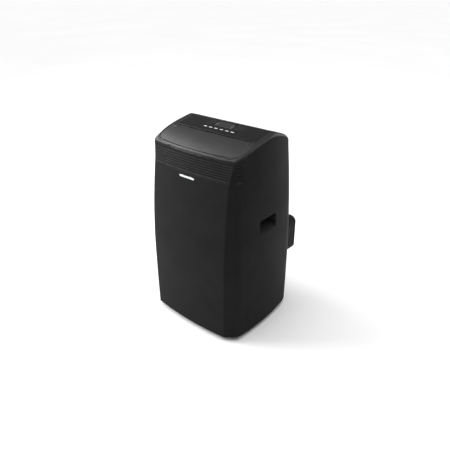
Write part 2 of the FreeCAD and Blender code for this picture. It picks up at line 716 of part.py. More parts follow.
def blower_wheel(centre, radius, width, axis, shaft):
    """A centrifugal wheel: hub disc, rim ring and blades."""
    blade_count = 18
    back = cylinder(radius, 2.5, V(0, 0, 0)).cut(cylinder(shaft, 5, V(0, 0, -1)))
    rim = tube(radius, radius - 8, 2.5, V(0, 0, width - 2.5))
    hub = tube(14, shaft, 24, V(0, 0, 0))
    blades = []
    for i in range(blade_count):
        blade = box(radius - 22, radius - 1.5, -0.9, 0.9, 2, width - 2)
        blade.rotate(V(radius - 1.5, 0, 0), Z_AXIS, 25)
        blade.rotate(V(0, 0, 0), Z_AXIS, 360.0 / blade_count * i)
        blades.append(blade)
    wheel = union([back, rim, hub] + blades).common(cylinder(radius, width, V(0, 0, 0)))
    return placed(wheel, FreeCAD.Placement(centre, FreeCAD.Rotation(Z_AXIS, axis)))


def evaporator_blower_housing():
    c = EVAPORATOR_FAN
    wall = 2.0
    r = EVAPORATOR_FAN_R + 8
    drum = cylinder(r + wall, 66, V(0, -126, c.z), Y_AXIS)
    throat = box(-DUCT_HALF + 5, DUCT_HALF - 5, -126, -60, c.z + 70, 611)
    body = drum.fuse(throat)
    body = body.cut(cylinder(r, 62, V(0, -124, c.z), Y_AXIS))
    body = body.cut(box(-DUCT_HALF + 7, DUCT_HALF - 7, -124, -62, c.z + 72, 620))
    body = body.cut(cylinder(EVAPORATOR_FAN_R - 14, 20, V(0, -70, c.z), Y_AXIS))
    body = body.cut(cylinder(6, 20, V(0, -135, c.z), Y_AXIS))
    return body.removeSplitter()


def condenser_blower_housing():
    c = CONDENSER_FAN
    wall = 2.0
    r = CONDENSER_FAN_R + 8
    drum = cylinder(r + wall, 74, V(c.x - 37, c.y, c.z), X_AXIS)
    cx, cz = ADAPTER_CENTRE
    throat = box(cx - 60, cx + 60, c.y + 70, 186, cz - 60, cz + 60)
    body = drum.fuse(throat)
    body = body.cut(cylinder(r, 70, V(c.x - 35, c.y, c.z), X_AXIS))
    body = body.cut(box(cx - 58, cx + 58, c.y + 60, 190, cz - 58, cz + 58).cut(
        cylinder(r + wall, 74, V(c.x - 37, c.y, c.z), X_AXIS).cut(box(c.x - 35, c.x + 35, 0, 300, 0, 400))))
    body = body.cut(cylinder(CONDENSER_FAN_R - 14, 20, V(c.x - 50, c.y, c.z), X_AXIS))
    body = body.cut(cylinder(6, 20, V(c.x + 30, c.y, c.z), X_AXIS))
    return body.removeSplitter()


def fan_motor(centre, axis, length, shaft_length):
    """An induction motor can with its shaft."""
    can = cylinder(38, length, centre, axis)
    ends = [e for e in can.Edges if isinstance(e.Curve, Part.Circle)]
    can = can.makeFillet(5, ends)
    shaft = cylinder(4.0, shaft_length, centre, axis * -1)
    return can.fuse(shaft).removeSplitter()


def compressor():
    """A hermetic rotary compressor on its three-legged foot plate."""
    x, y = COMPRESSOR_XY
    can = cylinder(58, 170, V(x, y, 92))
    ends = [e for e in can.Edges if isinstance(e.Curve, Part.Circle)]
    can = can.makeFillet(22, ends)
    pieces = [can]
    for i in range(3):
        leg = box(20, 84, -16, 16, 90, 94)
        leg = leg.cut(cylinder(5.5, 10, V(76, 0, 86)))
        leg.rotate(V(0, 0, 0), Z_AXIS, 120 * i + 30)
        leg.translate(V(x, y, 0))
        pieces.append(leg)
    pieces.append(cylinder(9, 14, V(x, y, 256)))
    return union(pieces)


def compressor_grommets():
    """Rubber feet under the compressor's legs, each on a stud of the pan."""
    x, y = COMPRESSOR_XY
    grommets = []
    for i in range(3):
        angle = math.radians(120 * i + 30)
        px = x + 76 * math.cos(angle)
        py = y + 76 * math.sin(angle)
        grommets.append(tube(11, 3.5, 39.5, V(px, py, PAN_Z + 5.2)))
    return Part.makeCompound(grommets)


def accumulator():
    x, y = COMPRESSOR_XY
    can = cylinder(22, 110, V(x + 88, y - 30, 120))
    ends = [e for e in can.Edges if isinstance(e.Curve, Part.Circle)]
    return can.makeFillet(10, ends)


def mid_partition():
    """The drain tray that separates the cold upper half from the hot lower half."""
    tray = cabinet_form(WALL + 6.0).common(box(-260, 260, -260, 188, 346, 368))
    hollow = cabinet_form(WALL + 9.0).common(box(-260, 260, -260, 185, 350, 380))
    tray = tray.cut(hollow)
    drain = cylinder(DRAIN_R + 2, 30, V(DRAIN_X, 170, DRAIN_ZS[0]), Y_AXIS)
    pocket = box(HALF_WIDTH - GRIP_DEPTH - 6, 260, GRIP_Y[0] - 6, GRIP_Y[1] + 6, 360, 400)
    pipe_hole = cylinder(7, 60, V(SUCTION_XY[0], SUCTION_XY[1], 330))
    return tray.cut(drain).cut(pocket).cut(mirrored(pocket)).cut(pipe_hole).removeSplitter()


def control_box():
    """Steel box for the mains electronics."""
    outer = box(112, 160, -40, 60, 490, 610)
    return outer.cut(box(114, 158, -38, 58, 492, 608)).cut(box(150, 170, -30, 50, 500, 600))


def circuit_board():
    board = box(144, 146, -34, 54, 496, 604)
    parts = [board]
    parts.append(box(128, 144, -20, 4, 520, 548))
    parts.append(cylinder(9, 18, V(126, 30, 580), X_AXIS))
    parts.append(box(134, 144, 14, 44, 505, 540))
    return union(parts)


def display_board():
    """The board under the keys and the display."""
    board = rounded_plate(170, 78, 1.6, 3)
    return placed(board, control_frame(0, 8, -14))


def refrigerant_pipes():
    """Copper pipes: compressor to condenser coil, and evaporator coil to accumulator."""
    x, y = COMPRESSOR_XY
    discharge = pipe([V(x, y, 271), V(x, y, 300), V(x, 139.5, 300)], 3.2, 12)
    sx, sy = SUCTION_XY
    suction = pipe([V(sx, y - 30, 230.5), V(sx, y - 30, 325), V(sx, sy, 325), V(sx, sy, 410),
                    V(sx, 141.5, 410)], 4.0, 11)
    return Part.makeCompound([discharge, suction])


# ---- build --------------------------------------------------------------------------------
def add_panels():
    nodes["front_panel"] = front_panel()
    right = right_side_panel()
    nodes["right_side_panel"] = right
    nodes["left_side_panel"] = mirrored(right)
    nodes["rear_panel"] = rear_panel()
    pocket = grip_pocket()
    nodes["right_grip_pocket"] = pocket
    nodes["left_grip_pocket"] = mirrored(pocket)
    nodes["top_cover"] = top_cover()
    nodes["badge"] = badge()


def add_controls():
    nodes["control_panel"] = control_panel()
    nodes["display_lens"] = display_lens()
    for i, x in enumerate(button_xs()):
        nodes[f"button_{i + 1}"] = button(x)
    nodes["display_board"] = display_board()


def add_outlet():
    nodes["flap"] = flap()
    nodes["outlet_duct"] = outlet_duct()
    for i, x in enumerate(VANE_XS):
        nodes[f"vane_{i + 1}"] = vane(x)
    nodes["vane_link"] = vane_link()


def add_running_gear():
    nodes["base_pan"] = base_pan()
    for name, (x, y) in CASTERS.items():
        nodes[f"caster_fork_{name}"] = caster_fork(x, y)
        nodes[f"caster_wheels_{name}"] = caster_wheels(x, y)


def add_rear():
    nodes["upper_grille"] = grille(UPPER_INTAKE)
    nodes["upper_filter"] = air_filter(UPPER_INTAKE)
    nodes["lower_grille"] = grille(LOWER_INTAKE)
    nodes["lower_filter"] = air_filter(LOWER_INTAKE)
    nodes["exhaust_adapter"] = exhaust_adapter()
    nodes["cord_gland"] = cord_gland()
    nodes["cord_hooks"] = cord_hooks()
    nodes["casing_screws"] = casing_screws()
    nodes["drain_spouts"] = drain_spouts()
    for name, z in zip(("upper", "lower"), DRAIN_ZS):
        nodes[f"{name}_drain_plug"] = drain_plug(z)


def add_inside():
    nodes["evaporator_coil"] = finned_coil(-150, 140, 140, 182, 382, 628, 9)
    nodes["condenser_coil"] = finned_coil(-158, -22, 138, 182, 76, 338, 10)
    c = EVAPORATOR_FAN
    nodes["evaporator_fan"] = blower_wheel(V(c.x, -120, c.z), EVAPORATOR_FAN_R, 52, Y_AXIS, 4.0 + RUNNING)
    nodes["evaporator_fan_motor"] = fan_motor(V(0, -58, c.z) + V(0, 8, 0), Y_AXIS, 60, 74)
    nodes["evaporator_blower_housing"] = evaporator_blower_housing()
    c = CONDENSER_FAN
    nodes["condenser_fan"] = blower_wheel(V(c.x + 30, c.y, c.z), CONDENSER_FAN_R, 58, X_AXIS * -1, 4.0 + RUNNING)
    nodes["condenser_fan_motor"] = fan_motor(V(c.x + 41, c.y, c.z), X_AXIS, 56, 30)
    nodes["condenser_blower_housing"] = condenser_blower_housing()
    nodes["compressor"] = compressor()
    nodes["compressor_grommets"] = compressor_grommets()
    nodes["accumulator"] = accumulator()
    nodes["mid_partition"] = mid_partition()
    nodes["control_box"] = control_box()
    nodes["circuit_board"] = circuit_board()
    nodes["refrigerant_pipes"] = refrigerant_pipes()


def export():
    os.makedirs("parts", exist_ok=True)
    for name, shape in nodes.items():
        moved = shape.copy()
        moved.translate(V(0, -ORIGIN_SHIFT, 0))
        moved.exportStep(f"parts/{name}.step")


add_panels()
add_controls()
add_outlet()
add_running_gear()
add_rear()
add_inside()
export()
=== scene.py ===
import json
import math

import bmesh
import bpy
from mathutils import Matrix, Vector

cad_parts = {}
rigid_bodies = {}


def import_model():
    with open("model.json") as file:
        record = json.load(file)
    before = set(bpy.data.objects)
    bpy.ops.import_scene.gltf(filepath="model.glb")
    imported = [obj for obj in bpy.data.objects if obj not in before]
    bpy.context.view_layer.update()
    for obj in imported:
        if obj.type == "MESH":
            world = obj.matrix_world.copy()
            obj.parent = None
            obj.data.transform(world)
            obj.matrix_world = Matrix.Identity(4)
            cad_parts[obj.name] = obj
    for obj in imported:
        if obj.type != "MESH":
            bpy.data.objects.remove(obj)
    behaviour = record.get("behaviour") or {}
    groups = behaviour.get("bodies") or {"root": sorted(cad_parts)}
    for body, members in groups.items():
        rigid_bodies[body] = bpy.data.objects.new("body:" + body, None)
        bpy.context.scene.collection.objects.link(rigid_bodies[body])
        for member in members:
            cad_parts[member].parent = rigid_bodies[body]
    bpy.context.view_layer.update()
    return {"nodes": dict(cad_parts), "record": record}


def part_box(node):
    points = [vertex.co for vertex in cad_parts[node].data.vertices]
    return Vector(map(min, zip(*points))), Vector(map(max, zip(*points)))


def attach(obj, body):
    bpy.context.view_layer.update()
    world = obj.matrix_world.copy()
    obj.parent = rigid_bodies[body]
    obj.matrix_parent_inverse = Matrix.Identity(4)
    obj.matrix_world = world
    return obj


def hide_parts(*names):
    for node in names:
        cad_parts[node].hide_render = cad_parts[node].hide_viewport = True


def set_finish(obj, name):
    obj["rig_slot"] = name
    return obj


# The looks of a portable air conditioner. The cabinet's mouldings are rebuilt here as finely
# subdivided closed shells on the same form as the CAD panels; everything else keeps its CAD mesh
# and gets a procedural material. Form sizes are in millimetres in the cabinet's own frame.

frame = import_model()
NODES = frame["nodes"]


def node_box(name):
    """The lowest and highest corner of a CAD node, in millimetres."""
    low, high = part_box(name)
    return [v * 1000 for v in low], [v * 1000 for v in high]


# ---- the cabinet's form, from the frame and a few driving sizes ----
PANEL_LOW, PANEL_HIGH = node_box("front_panel")
REAR_HIGH = node_box("rear_panel")[1]
COVER_HIGH = node_box("top_cover")[1]

REAR_Y = 200.0  # the cabinet's own frame: rear face
SHIFT = REAR_Y - REAR_HIGH[1]  # cabinet frame to part frame
FRONT_Y = PANEL_LOW[1] + SHIFT
SKIRT_Z = PANEL_LOW[2]
SHOULDER_Z = 702.0
FORM_LOW_Z = 20.0  # the leans below are reached at these two heights
FORM_HIGH_Z = 708.0
HALF_WIDTH = 220.0
WIDEST_Z = 216.0
SIDE_LEAN_TOP = 25.1  # how far each side leans in, above and below
SIDE_LEAN_FOOT = 2.1
DEEPEST_Z = 272.0
FRONT_LEAN_TOP = 39.8
FRONT_LEAN_FOOT = 1.5
FRONT_BOW = 18.8
SIDE_BOW = 11.8
SIDE_BOW_TOP = 10.5
SIDE_BOW_SHIFT = 12.0
SIDE_TAPER = 10.6
CHAMFER_X = 39.8
CHAMFER_Y = 26.8
REAR_CORNER = 52.0
WALL = 3.0
SEAM = 0.5
FRONT_SPLIT_Y = PANEL_HIGH[1] + SHIFT
REAR_SPLIT_X = 160.0
FRONT_POINTS = 22  # outline points from the middle to the chamfer
SOFT_START = 2.5  # rounding where the front meets the chamfer
SOFT_END = 17.0  # rounding where the chamfer meets the side

HINGE_GAP_Y = -39.0
HINGE_GAP_Z = 743.0
CREST_Y = 54.0
CREST_Z = COVER_HIGH[2]
CONTROL_SLOPE = (CREST_Z - HINGE_GAP_Z) / (CREST_Y - HINGE_GAP_Y)
FLAP_CURVE = 0.00088
SCOOP_HALF = 156.0
REAR_PANEL_TOP = REAR_HIGH[2]

RIB_PITCH = 8.3
RIB_COUNT = 7
RIB_DEPTH = 2.3
FIRST_GROOVE_Z = SHOULDER_Z - 11.0

FLAP_HALF = 197.6
FLAP_NECK = 171.0
FLAP_CORNER_Y = -56.0
FLAP_AXIS_Y = -43.5
FLAP_REAR_Y = FLAP_AXIS_Y + 1.2
FLAP_OPENING_REAR_Y = FLAP_AXIS_Y + 6.9
FLAP_THICK = 3.0

BUTTON_COUNT = 6
BUTTON_PITCH = 25.7
BUTTON_Y = -11.0
BUTTON_SIZE = (17.0, 7.0)
DISPLAY_Y = 24.0
DISPLAY_SIZE = (64.0, 32.0)
BUTTON_XS = [(i - (BUTTON_COUNT - 1) / 2) * BUTTON_PITCH for i in range(BUTTON_COUNT)]

GRIP_Y = (-45.0, 58.0)
GRIP_Z = (415.0, 470.0)
GRIP_DEPTH = 50.0
GRIP_RISE = 24.0


def place(x, y, z):
    """Cabinet millimetres to scene metres."""
    return Vector((x, y - SHIFT, z)) / 1000


def lerp(a, b, t):
    return a + (b - a) * t


def smooth(t):
    t = min(1.0, max(0.0, t))
    return t * t * (3 - 2 * t)


def bezier(a, c, b, t):
    return a * (1 - t) ** 2 + c * (2 * t * (1 - t)) + b * t ** 2


def where_on(a, c, b, value):
    """The parameter at which a quadratic through a and b, pulled by c, takes a value."""
    square, slope = a - 2 * c + b, 2 * (c - a)
    if abs(square) < 1e-6:
        return (value - a) / slope
    return (-slope + math.sqrt(slope * slope - 4 * square * (a - value))) / (2 * square)


def along_curves(curves, y):
    """Height at depth y on a chain of quadratics, each given as its start, pull and end."""
    for y0, z0, yc, zc, y1, z1 in curves:
        if y <= y1:
            break
    return bezier(z0, zc, z1, where_on(y0, yc, y1, min(y, y1)))


def rise_from(z, start):
    """0 at start and below, 1 at the top of the form."""
    return max(0.0, z - start) / (FORM_HIGH_Z - start)


def side_lean(z):
    if z > WIDEST_Z:
        return SIDE_LEAN_TOP * rise_from(z, WIDEST_Z) ** 2
    return SIDE_LEAN_FOOT * ((WIDEST_Z - z) / (WIDEST_Z - FORM_LOW_Z)) ** 2


def front_lean(z):
    if z > DEEPEST_Z:
        return FRONT_LEAN_TOP * rise_from(z, DEEPEST_Z) ** 2
    return FRONT_LEAN_FOOT * ((DEEPEST_Z - z) / (DEEPEST_Z - FORM_LOW_Z)) ** 2


def chamfer_scale(z):
    """The corner chamfer narrows towards the top, and fastest near the shoulder."""
    narrowing = 0.63 * max(0.0, (z - 200.0) / 509.0) ** 2
    closing = 0.35 * max(0.0, (z - 610.0) / 100.0) ** 2
    return max(0.1, 1.0 - narrowing - closing)


class Section:
    """The right half of the plan outline at height z, pushed in by inset."""

    def __init__(self, z, inset=0.0):
        half = HALF_WIDTH - side_lean(z) - inset
        self.front = FRONT_Y + front_lean(z) + inset
        self.rear = REAR_Y - inset
        scale = chamfer_scale(z)
        x1 = half - CHAMFER_X * scale
        self.start = Vector((x1, self.front_y(x1)))
        self.end = Vector((half, self.front + FRONT_BOW + CHAMFER_Y * scale))
        self.side = Vector((half - SIDE_TAPER, self.rear - REAR_CORNER))
        self.corner = Vector((self.side.x - REAR_CORNER, self.rear))
        rise = rise_from(z, WIDEST_Z) ** 2
        bulge = (self.end + self.side) / 2
        bulge.x += 2 * (SIDE_BOW + SIDE_BOW_TOP * rise)
        bulge.y -= SIDE_BOW_SHIFT * rise
        self.bulge = bulge
        run = (self.side.x - bulge.x) / (self.side.y - bulge.y)
        self.knuckle = Vector((self.side.x + run * REAR_CORNER, self.rear))

    def front_y(self, x):
        return self.front + FRONT_BOW * (x / HALF_WIDTH) ** 2

    def side_at(self, y):
        t = where_on(self.end.y, self.bulge.y, self.side.y, y)
        return Vector((bezier(self.end, self.bulge, self.side, t).x, y))

    def front_part(self, count):
        """From the middle of the front round the chamfer to the side."""
        x_last = self.start.x - SOFT_START
        points = []
        for i in range(count):
            x = x_last * i / count
            points.append(Vector((x, self.front_y(x))))
        first = Vector((x_last, self.front_y(x_last)))
        along = (self.end - self.start).normalized()
        second = self.start + along * SOFT_START
        for i in range(5):
            points.append(bezier(first, self.start, second, i / 4))
        soft_end = min(SOFT_END, (self.end - self.start).length * 0.45)
        third = self.end - along * soft_end
        for i in range(1, 4):
            points.append(second.lerp(third, i / 4))
        fourth = self.side_at(self.end.y + soft_end)
        for i in range(9):
            points.append(bezier(third, self.end, fourth, i / 8))
        return points

    def side_part(self, y0, y1, count):
        return [self.side_at(lerp(y0, y1, i / count)) for i in range(count + 1)]

    def corner_at(self, t):
        return bezier(self.side, self.knuckle, self.corner, t)

    def corner_until(self, x):
        """The fraction of the rear corner's curve at which it has come in to x."""
        low, high = 0.0, 1.0
        for _ in range(30):
            middle = (low + high) / 2
            low, high = (middle, high) if self.corner_at(middle).x > x else (low, middle)
        return low


RIM_CURVES = (
    (-142, SHOULDER_Z, -128, 707, -112, 713.6),
    (-112, 713.6, -74, 725.8, -36, 738),
    (-36, 738, 6, 751.4, 45, 747.6),
    (45, 747.6, 95, 742.5, 155, 718),
    (155, 718, 185, 700, 200, 676),
)


def rim_z(y):
    """Top edge of the side panels at depth y."""
    if y < RIM_CURVES[0][0]:
        return SHOULDER_Z
    return along_curves(RIM_CURVES, y)


def top_z(y):
    """Height of the top surface in front of the crest: a curved flap, a straight control area."""
    run = y - HINGE_GAP_Y
    curve = FLAP_CURVE * run ** 2 if run < 0 else 0.0
    return HINGE_GAP_Z + CONTROL_SLOPE * run - curve


# ---- mesh helpers ----
def grid_faces(bm, rows, skip=None):
    """Quads over a grid of points; returns the grid of vertices."""
    grid = [[bm.verts.new(p) for p in row] for row in rows]
    for i in range(len(grid) - 1):
        for j in range(len(grid[0]) - 1):
            if skip and skip(i, j):
                continue
            quad = [grid[i][j], grid[i][j + 1], grid[i + 1][j + 1], grid[i + 1][j]]
            if (quad[0].co - quad[3].co).length < 1e-6 and (quad[1].co - quad[2].co).length < 1e-6:
                continue
            bm.faces.new(quad)
    return grid


def mirrored(row):
    return [Vector((-p.x, p.y, p.z)) for p in row]


def both_sides(right):
    """A whole row from its right half, which starts in the middle."""
    return mirrored(reversed(right[1:])) + right


def side_name(sign):
    return "right" if sign > 0 else "left"


def bridge(bm, loop_a, loop_b):
    count = len(loop_a)
    for i in range(count):
        j = (i + 1) % count
        bm.faces.new([loop_a[i], loop_a[j], loop_b[j], loop_b[i]])


def loft(bm, loops, cap_first=True):
    """A closed skin through loops of points."""
    rings = [[bm.verts.new(p) for p in points] for points in loops]
    for a, b in zip(rings, rings[1:]):
        bridge(bm, a, b)
    if cap_first:
        bm.faces.new(rings[0][::-1])
    bm.faces.new(rings[-1])


def add_object(name, data):
    new = bpy.data.objects.new(name, data)
    bpy.context.scene.collection.objects.link(new)
    return new


def mesh_object(name, bm):
    mesh = bpy.data.meshes.new(name)
    bm.to_mesh(mesh)
    bm.free()
    return add_object(name, mesh)


def make(name, bm, body="cabinet", slot=None, replaces=(), sharp=50.0, bevel=0.0, wall=0.0,
         outward=None, flat=False):
    """Finishes a mesh into a piece. Sheets get a wall, and edges over sharp degrees a rounding."""
    bmesh.ops.remove_doubles(bm, verts=bm.verts, dist=2e-6)
    bmesh.ops.dissolve_degenerate(bm, edges=bm.edges, dist=1e-7)
    bmesh.ops.recalc_face_normals(bm, faces=bm.faces)
    if outward is not None:
        total = sum((f.calc_area() * f.normal.dot(f.calc_center_median() - outward)) for f in bm.faces)
        if total < 0:
            bmesh.ops.reverse_faces(bm, faces=bm.faces)
    limit = math.radians(sharp)
    for face in bm.faces:
        face.smooth = not flat
    for edge in bm.edges:
        if len(edge.link_faces) == 2 and edge.calc_face_angle(0) > limit:
            edge.smooth = False
    piece = mesh_object(name, bm)
    if wall > 0:
        mod = piece.modifiers.new("wall", "SOLIDIFY")
        mod.thickness = wall / 1000
        mod.offset = -1.0
        mod.use_even_offset = True
        mod.use_quality_normals = True
    if bevel > 0:
        mod = piece.modifiers.new("edge_rounding", "BEVEL")
        mod.width = bevel / 1000
        mod.segments = 2
        mod.limit_method = "ANGLE"
        mod.angle_limit = limit
        mod.harden_normals = True
        mod.use_clamp_overlap = False
    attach(piece, body)
    if slot:
        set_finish(piece, slot)
    for node in replaces:
        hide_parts(node)
    return piece


def solid(name, loops, cap_first=True, **finish):
    bm = bmesh.new()
    loft(bm, loops, cap_first)
    return make(name, bm, **finish)


def sheet(name, rows, skip=None, **finish):
    bm = bmesh.new()
    grid_faces(bm, rows, skip)
    return make(name, bm, **finish)


def round_rect_point(low, high, radii, side, fraction):
    """A point of a rounded rectangle: sides 0 to 3 anticlockwise, each from corner to corner."""
    corners = [(low[0], low[1]), (high[0], low[1]), (high[0], high[1]), (low[0], high[1])]
    a = Vector(corners[side])
    b = Vector(corners[(side + 1) % 4])
    along = (b - a).normalized()
    inward = Vector((-along.y, along.x))
    radius_a, radius_b = radii[side], radii[(side + 1) % 4]
    arc_a, arc_b = radius_a * math.pi / 4, radius_b * math.pi / 4
    straight = (b - a).length - radius_a - radius_b
    distance = fraction * (arc_a + straight + arc_b)
    if distance < arc_a:
        turn = math.pi / 4 - distance / radius_a
        return a + along * radius_a * (1 - math.sin(turn)) + inward * radius_a * (1 - math.cos(turn))
    if distance > arc_a + straight:
        turn = (distance - arc_a - straight) / radius_b
        return b - along * radius_b * (1 - math.sin(turn)) + inward * radius_b * (1 - math.cos(turn))
    return a + along * (radius_a + distance - arc_a)


def round_rect(x0, x1, y0, y1, radius, per_side=8, grow=0.0):
    low, high = (x0 - grow, y0 - grow), (x1 + grow, y1 + grow)
    radii = [max(0.05, radius + grow)] * 4
    samples = [(side, k / per_side) for side in range(4) for k in range(per_side)]
    return [round_rect_point(low, high, radii, side, t) for side, t in samples]


def hole_samples(i0, i1, j0, j1):
    """Border vertices of a block of grid cells, as (row, column, side, fraction)."""
    ring = [(i0, j, 0, (j - j0) / (j1 - j0)) for j in range(j0, j1)]
    ring += [(i, j1, 1, (i - i0) / (i1 - i0)) for i in range(i0, i1)]
    ring += [(i1, j, 2, (j1 - j) / (j1 - j0)) for j in range(j1, j0, -1)]
    ring += [(i, j0, 3, (i1 - i) / (i1 - i0)) for i in range(i1, i0, -1)]
    return ring


def cut_hole(bm, grid, block, low, high, radii, surface, steps=3):
    """Fills between a block of missing cells and the rounded hole inside it."""
    ring = hole_samples(*block)
    loop = [grid[i][j] for i, j, side, t in ring]
    i0, i1, j0, j1 = block
    start = [surface.inverse[i][j] for i, j, side, t in ring]
    for step in range(1, steps + 1):
        share = step / steps
        new_loop = []
        for (i, j, side, t), wide in zip(ring, start):
            tight = round_rect_point(low, high, radii, side, t)
            p = wide.lerp(tight, share)
            new_loop.append(bm.verts.new(surface(p.x, p.y)))
        bridge(bm, loop, new_loop)
        loop = new_loop
    return loop


class Surface:
    """A grid's flat coordinates, with the function that lifts them onto the form."""

    def __init__(self, lift, xs, ys):
        self.lift = lift
        self.inverse = [[Vector((x, y)) for x in xs] for y in ys]

    def __call__(self, x, y):
        return self.lift(x, y)

    def rows(self):
        return [[self.lift(p.x, p.y) for p in row] for row in self.inverse]


# ---- front panel ----
GROOVE = ((-3.2, 0.0), (-2.8, 0.07), (-2.35, 0.38), (-1.6, 0.86), (-1.0, 1.0), (1.5, 1.0),
          (2.0, 0.93), (2.25, 0.5), (2.5, 0.07), (2.85, 0.0))      # height, share of the depth
EDGE_CURL = ((0.0, 1.8), (0.25, 0.9), (0.8, 0.22), (1.6, 0.0))  # inwards, down from the edge


def groove_share(k):
    """The grooves run out on the corner chamfer; k counts points from the middle of the front."""
    return 1.0 - 0.75 * smooth((k - 20) / 5) * (1.0 - smooth((k - 29) / 6))


def front_outline(z, depth=0.0):
    """The front panel's outline at height z, from its middle to its right edge."""
    plain = Section(z).front_part(FRONT_POINTS)
    start_y = plain[-1].y
    right = plain
    if depth:
        deep = Section(z, depth).front_part(FRONT_POINTS)
        right = [a.lerp(b, groove_share(k)) for k, (a, b) in enumerate(zip(plain, deep))]
    for p in Section(z).side_part(start_y, FRONT_SPLIT_Y, 5)[1:]:
        fade = 1 - smooth((p.y - start_y) / (FRONT_SPLIT_Y - 6 - start_y))
        right.append(Vector((p.x - depth * fade, p.y)))
    return right


def front_row(z, depth):
    return both_sides([place(p.x, p.y, z) for p in front_outline(z, depth)])


def front_top_row(low, share, inset, drop):
    """A row between the last groove and the panel's top edge, which rises round the corners."""
    right = []
    for k, guide in enumerate(front_outline(SHOULDER_Z)):
        z = lerp(low, rim_z(guide.y) - drop, share)
        level = round(z, 1) if k > FRONT_POINTS else z  # steps of 0.1 mm do for the corner
        p = front_outline(level)[k]
        right.append(place(p.x, p.y, z))
    out = [(p.xy - place(0, -60, 0).xy).normalized() * inset / 1000 for p in right]
    return both_sides([Vector((p.x - o.x, p.y - o.y, p.z)) for p, o in zip(right, out)])


def front_panel():
    first = FIRST_GROOVE_Z - (RIB_COUNT - 1) * RIB_PITCH + GROOVE[0][0]
    levels = [(lerp(SKIRT_Z, first, i / 30), 0.0) for i in range(30)]
    for i in reversed(range(RIB_COUNT)):
        z = FIRST_GROOVE_Z - i * RIB_PITCH
        levels += [(z + dz, depth * RIB_DEPTH) for dz, depth in GROOVE]
    last = levels[-1][0]
    rows = [front_row(z, depth) for z, depth in levels]
    rows += [front_top_row(last, 0.5, 0.0, 0.0)]
    rows += [front_top_row(last, 1.0, inset, drop) for inset, drop in EDGE_CURL]
    return sheet("front_shell", rows, slot="cabinet_plastic", replaces=["front_panel"],
                 bevel=0.25, wall=WALL, outward=place(0, 0, 400), sharp=55)


# ---- side panels ----
GRIP_MARGIN = 20.0
GRIP_RADII = (3.0, 3.0, 10.0, 10.0)


def side_shell(sign):
    """A side panel with its grip opening; sign is 1 for the right side and -1 for the left."""
    y0, y1 = GRIP_Y[0] - GRIP_MARGIN, GRIP_Y[1] + GRIP_MARGIN
    z0, z1 = GRIP_Z[0] - GRIP_MARGIN, GRIP_Z[1] + GRIP_MARGIN
    start = FRONT_SPLIT_Y + 0.2
    ys = [lerp(start, y0, i / 4) for i in range(4)]
    ys += [lerp(y0, y1, i / 16) for i in range(16)]
    ys += [lerp(y1, REAR_Y - REAR_CORNER, i / 6) for i in range(7)]
    corner_steps = 14
    zs = [lerp(SKIRT_Z, z0, i / 18) for i in range(18)]
    zs += [lerp(z0, z1, i / 10) for i in range(10)]
    zs += [lerp(z1, 650.0, i / 8) for i in range(9)]
    block = (18, 28, 4, 20)

    def on_side(y, z):
        return place(sign * Section(z).side_at(y).x, y, z)

    def on_corner(step, z):
        section = Section(z)
        p = section.corner_at(section.corner_until(REAR_SPLIT_X + SEAM) * step / corner_steps)
        return place(sign * p.x, p.y, z)

    surface = Surface(on_side, ys, zs)
    rows = surface.rows()
    for row, z in zip(rows, zs):
        row.extend(on_corner(step, z) for step in range(1, corner_steps + 1))
    steps = [(i / 9, 0.0, 0.0) for i in range(1, 9)]
    steps += [(1.0, inset, drop) for inset, drop in EDGE_CURL]
    for share, inset, drop in steps:
        row = [on_side(y, lerp(zs[-1], rim_z(y) - drop, share)) for y in ys]
        for step in range(1, corner_steps + 1):
            top = rim_z(on_corner(step, 700.0).y * 1000 + SHIFT) - drop
            row.append(on_corner(step, lerp(zs[-1], top, share)))
        rows.append([p - Vector((sign * inset / 1000, 0, 0)) for p in row])
    bm = bmesh.new()
    grid = grid_faces(bm, rows, lambda i, j: block[0] <= i < block[1] and block[2] <= j < block[3])
    low, high = (GRIP_Y[0] - SEAM, GRIP_Z[0] - SEAM), (GRIP_Y[1] + SEAM, GRIP_Z[1] + SEAM)
    cut_hole(bm, grid, block, low, high, GRIP_RADII, surface)
    side = side_name(sign)
    return make(side + "_shell", bm, slot="cabinet_plastic", replaces=[side + "_side_panel"],
                bevel=0.25, wall=WALL, outward=place(0, 0, 400), sharp=55)


def grip_liner(sign):
    """The finger pocket behind a grip opening: its floor rises inwards and its back is rounded."""
    samples = [(side, k / 14) for side in range(4) for k in range(14)]

    def level(depth, shrink):
        low = (GRIP_Y[0] + shrink, GRIP_Z[0] + shrink)
        high = (GRIP_Y[1] - shrink, GRIP_Z[1] - shrink)
        radii = [max(0.5, r - shrink * 0.5) for r in GRIP_RADII]
        points = []
        for side, t in samples:
            p = round_rect_point(low, high, radii, side, t)
            up = (p.y - GRIP_Z[0]) / (GRIP_Z[1] - GRIP_Z[0])
            z = p.y + GRIP_RISE * max(0.0, depth) / GRIP_DEPTH * (1 - up)
            z -= 12.0 * smooth((depth - 32) / 20) * up
            x = Section(p.y).side_at(p.x).x - depth
            points.append(place(sign * x, p.x, z))
        return points

    loops = [level(4.0, 0.4), level(1.2, 0.4), level(0.75, 0.55), level(0.55, 0.9), level(0.7, 1.35),
             level(1.4, 1.7), level(3.0, 1.9)]
    loops += [level(depth, 2.0 + depth * 0.015) for depth in (6.0, 12.0, 20.0, 28.0, 36.0, 42.0, 45.5)]
    loops += [level(48.0, 3.6), level(49.4, 6.0), level(50.0, 10.0), level(50.0, 20.0)]
    side = side_name(sign)
    return solid(side + "_grip_liner", loops, cap_first=False, slot="pocket_plastic",
                 replaces=[side + "_grip_pocket"], wall=1.8, sharp=60)


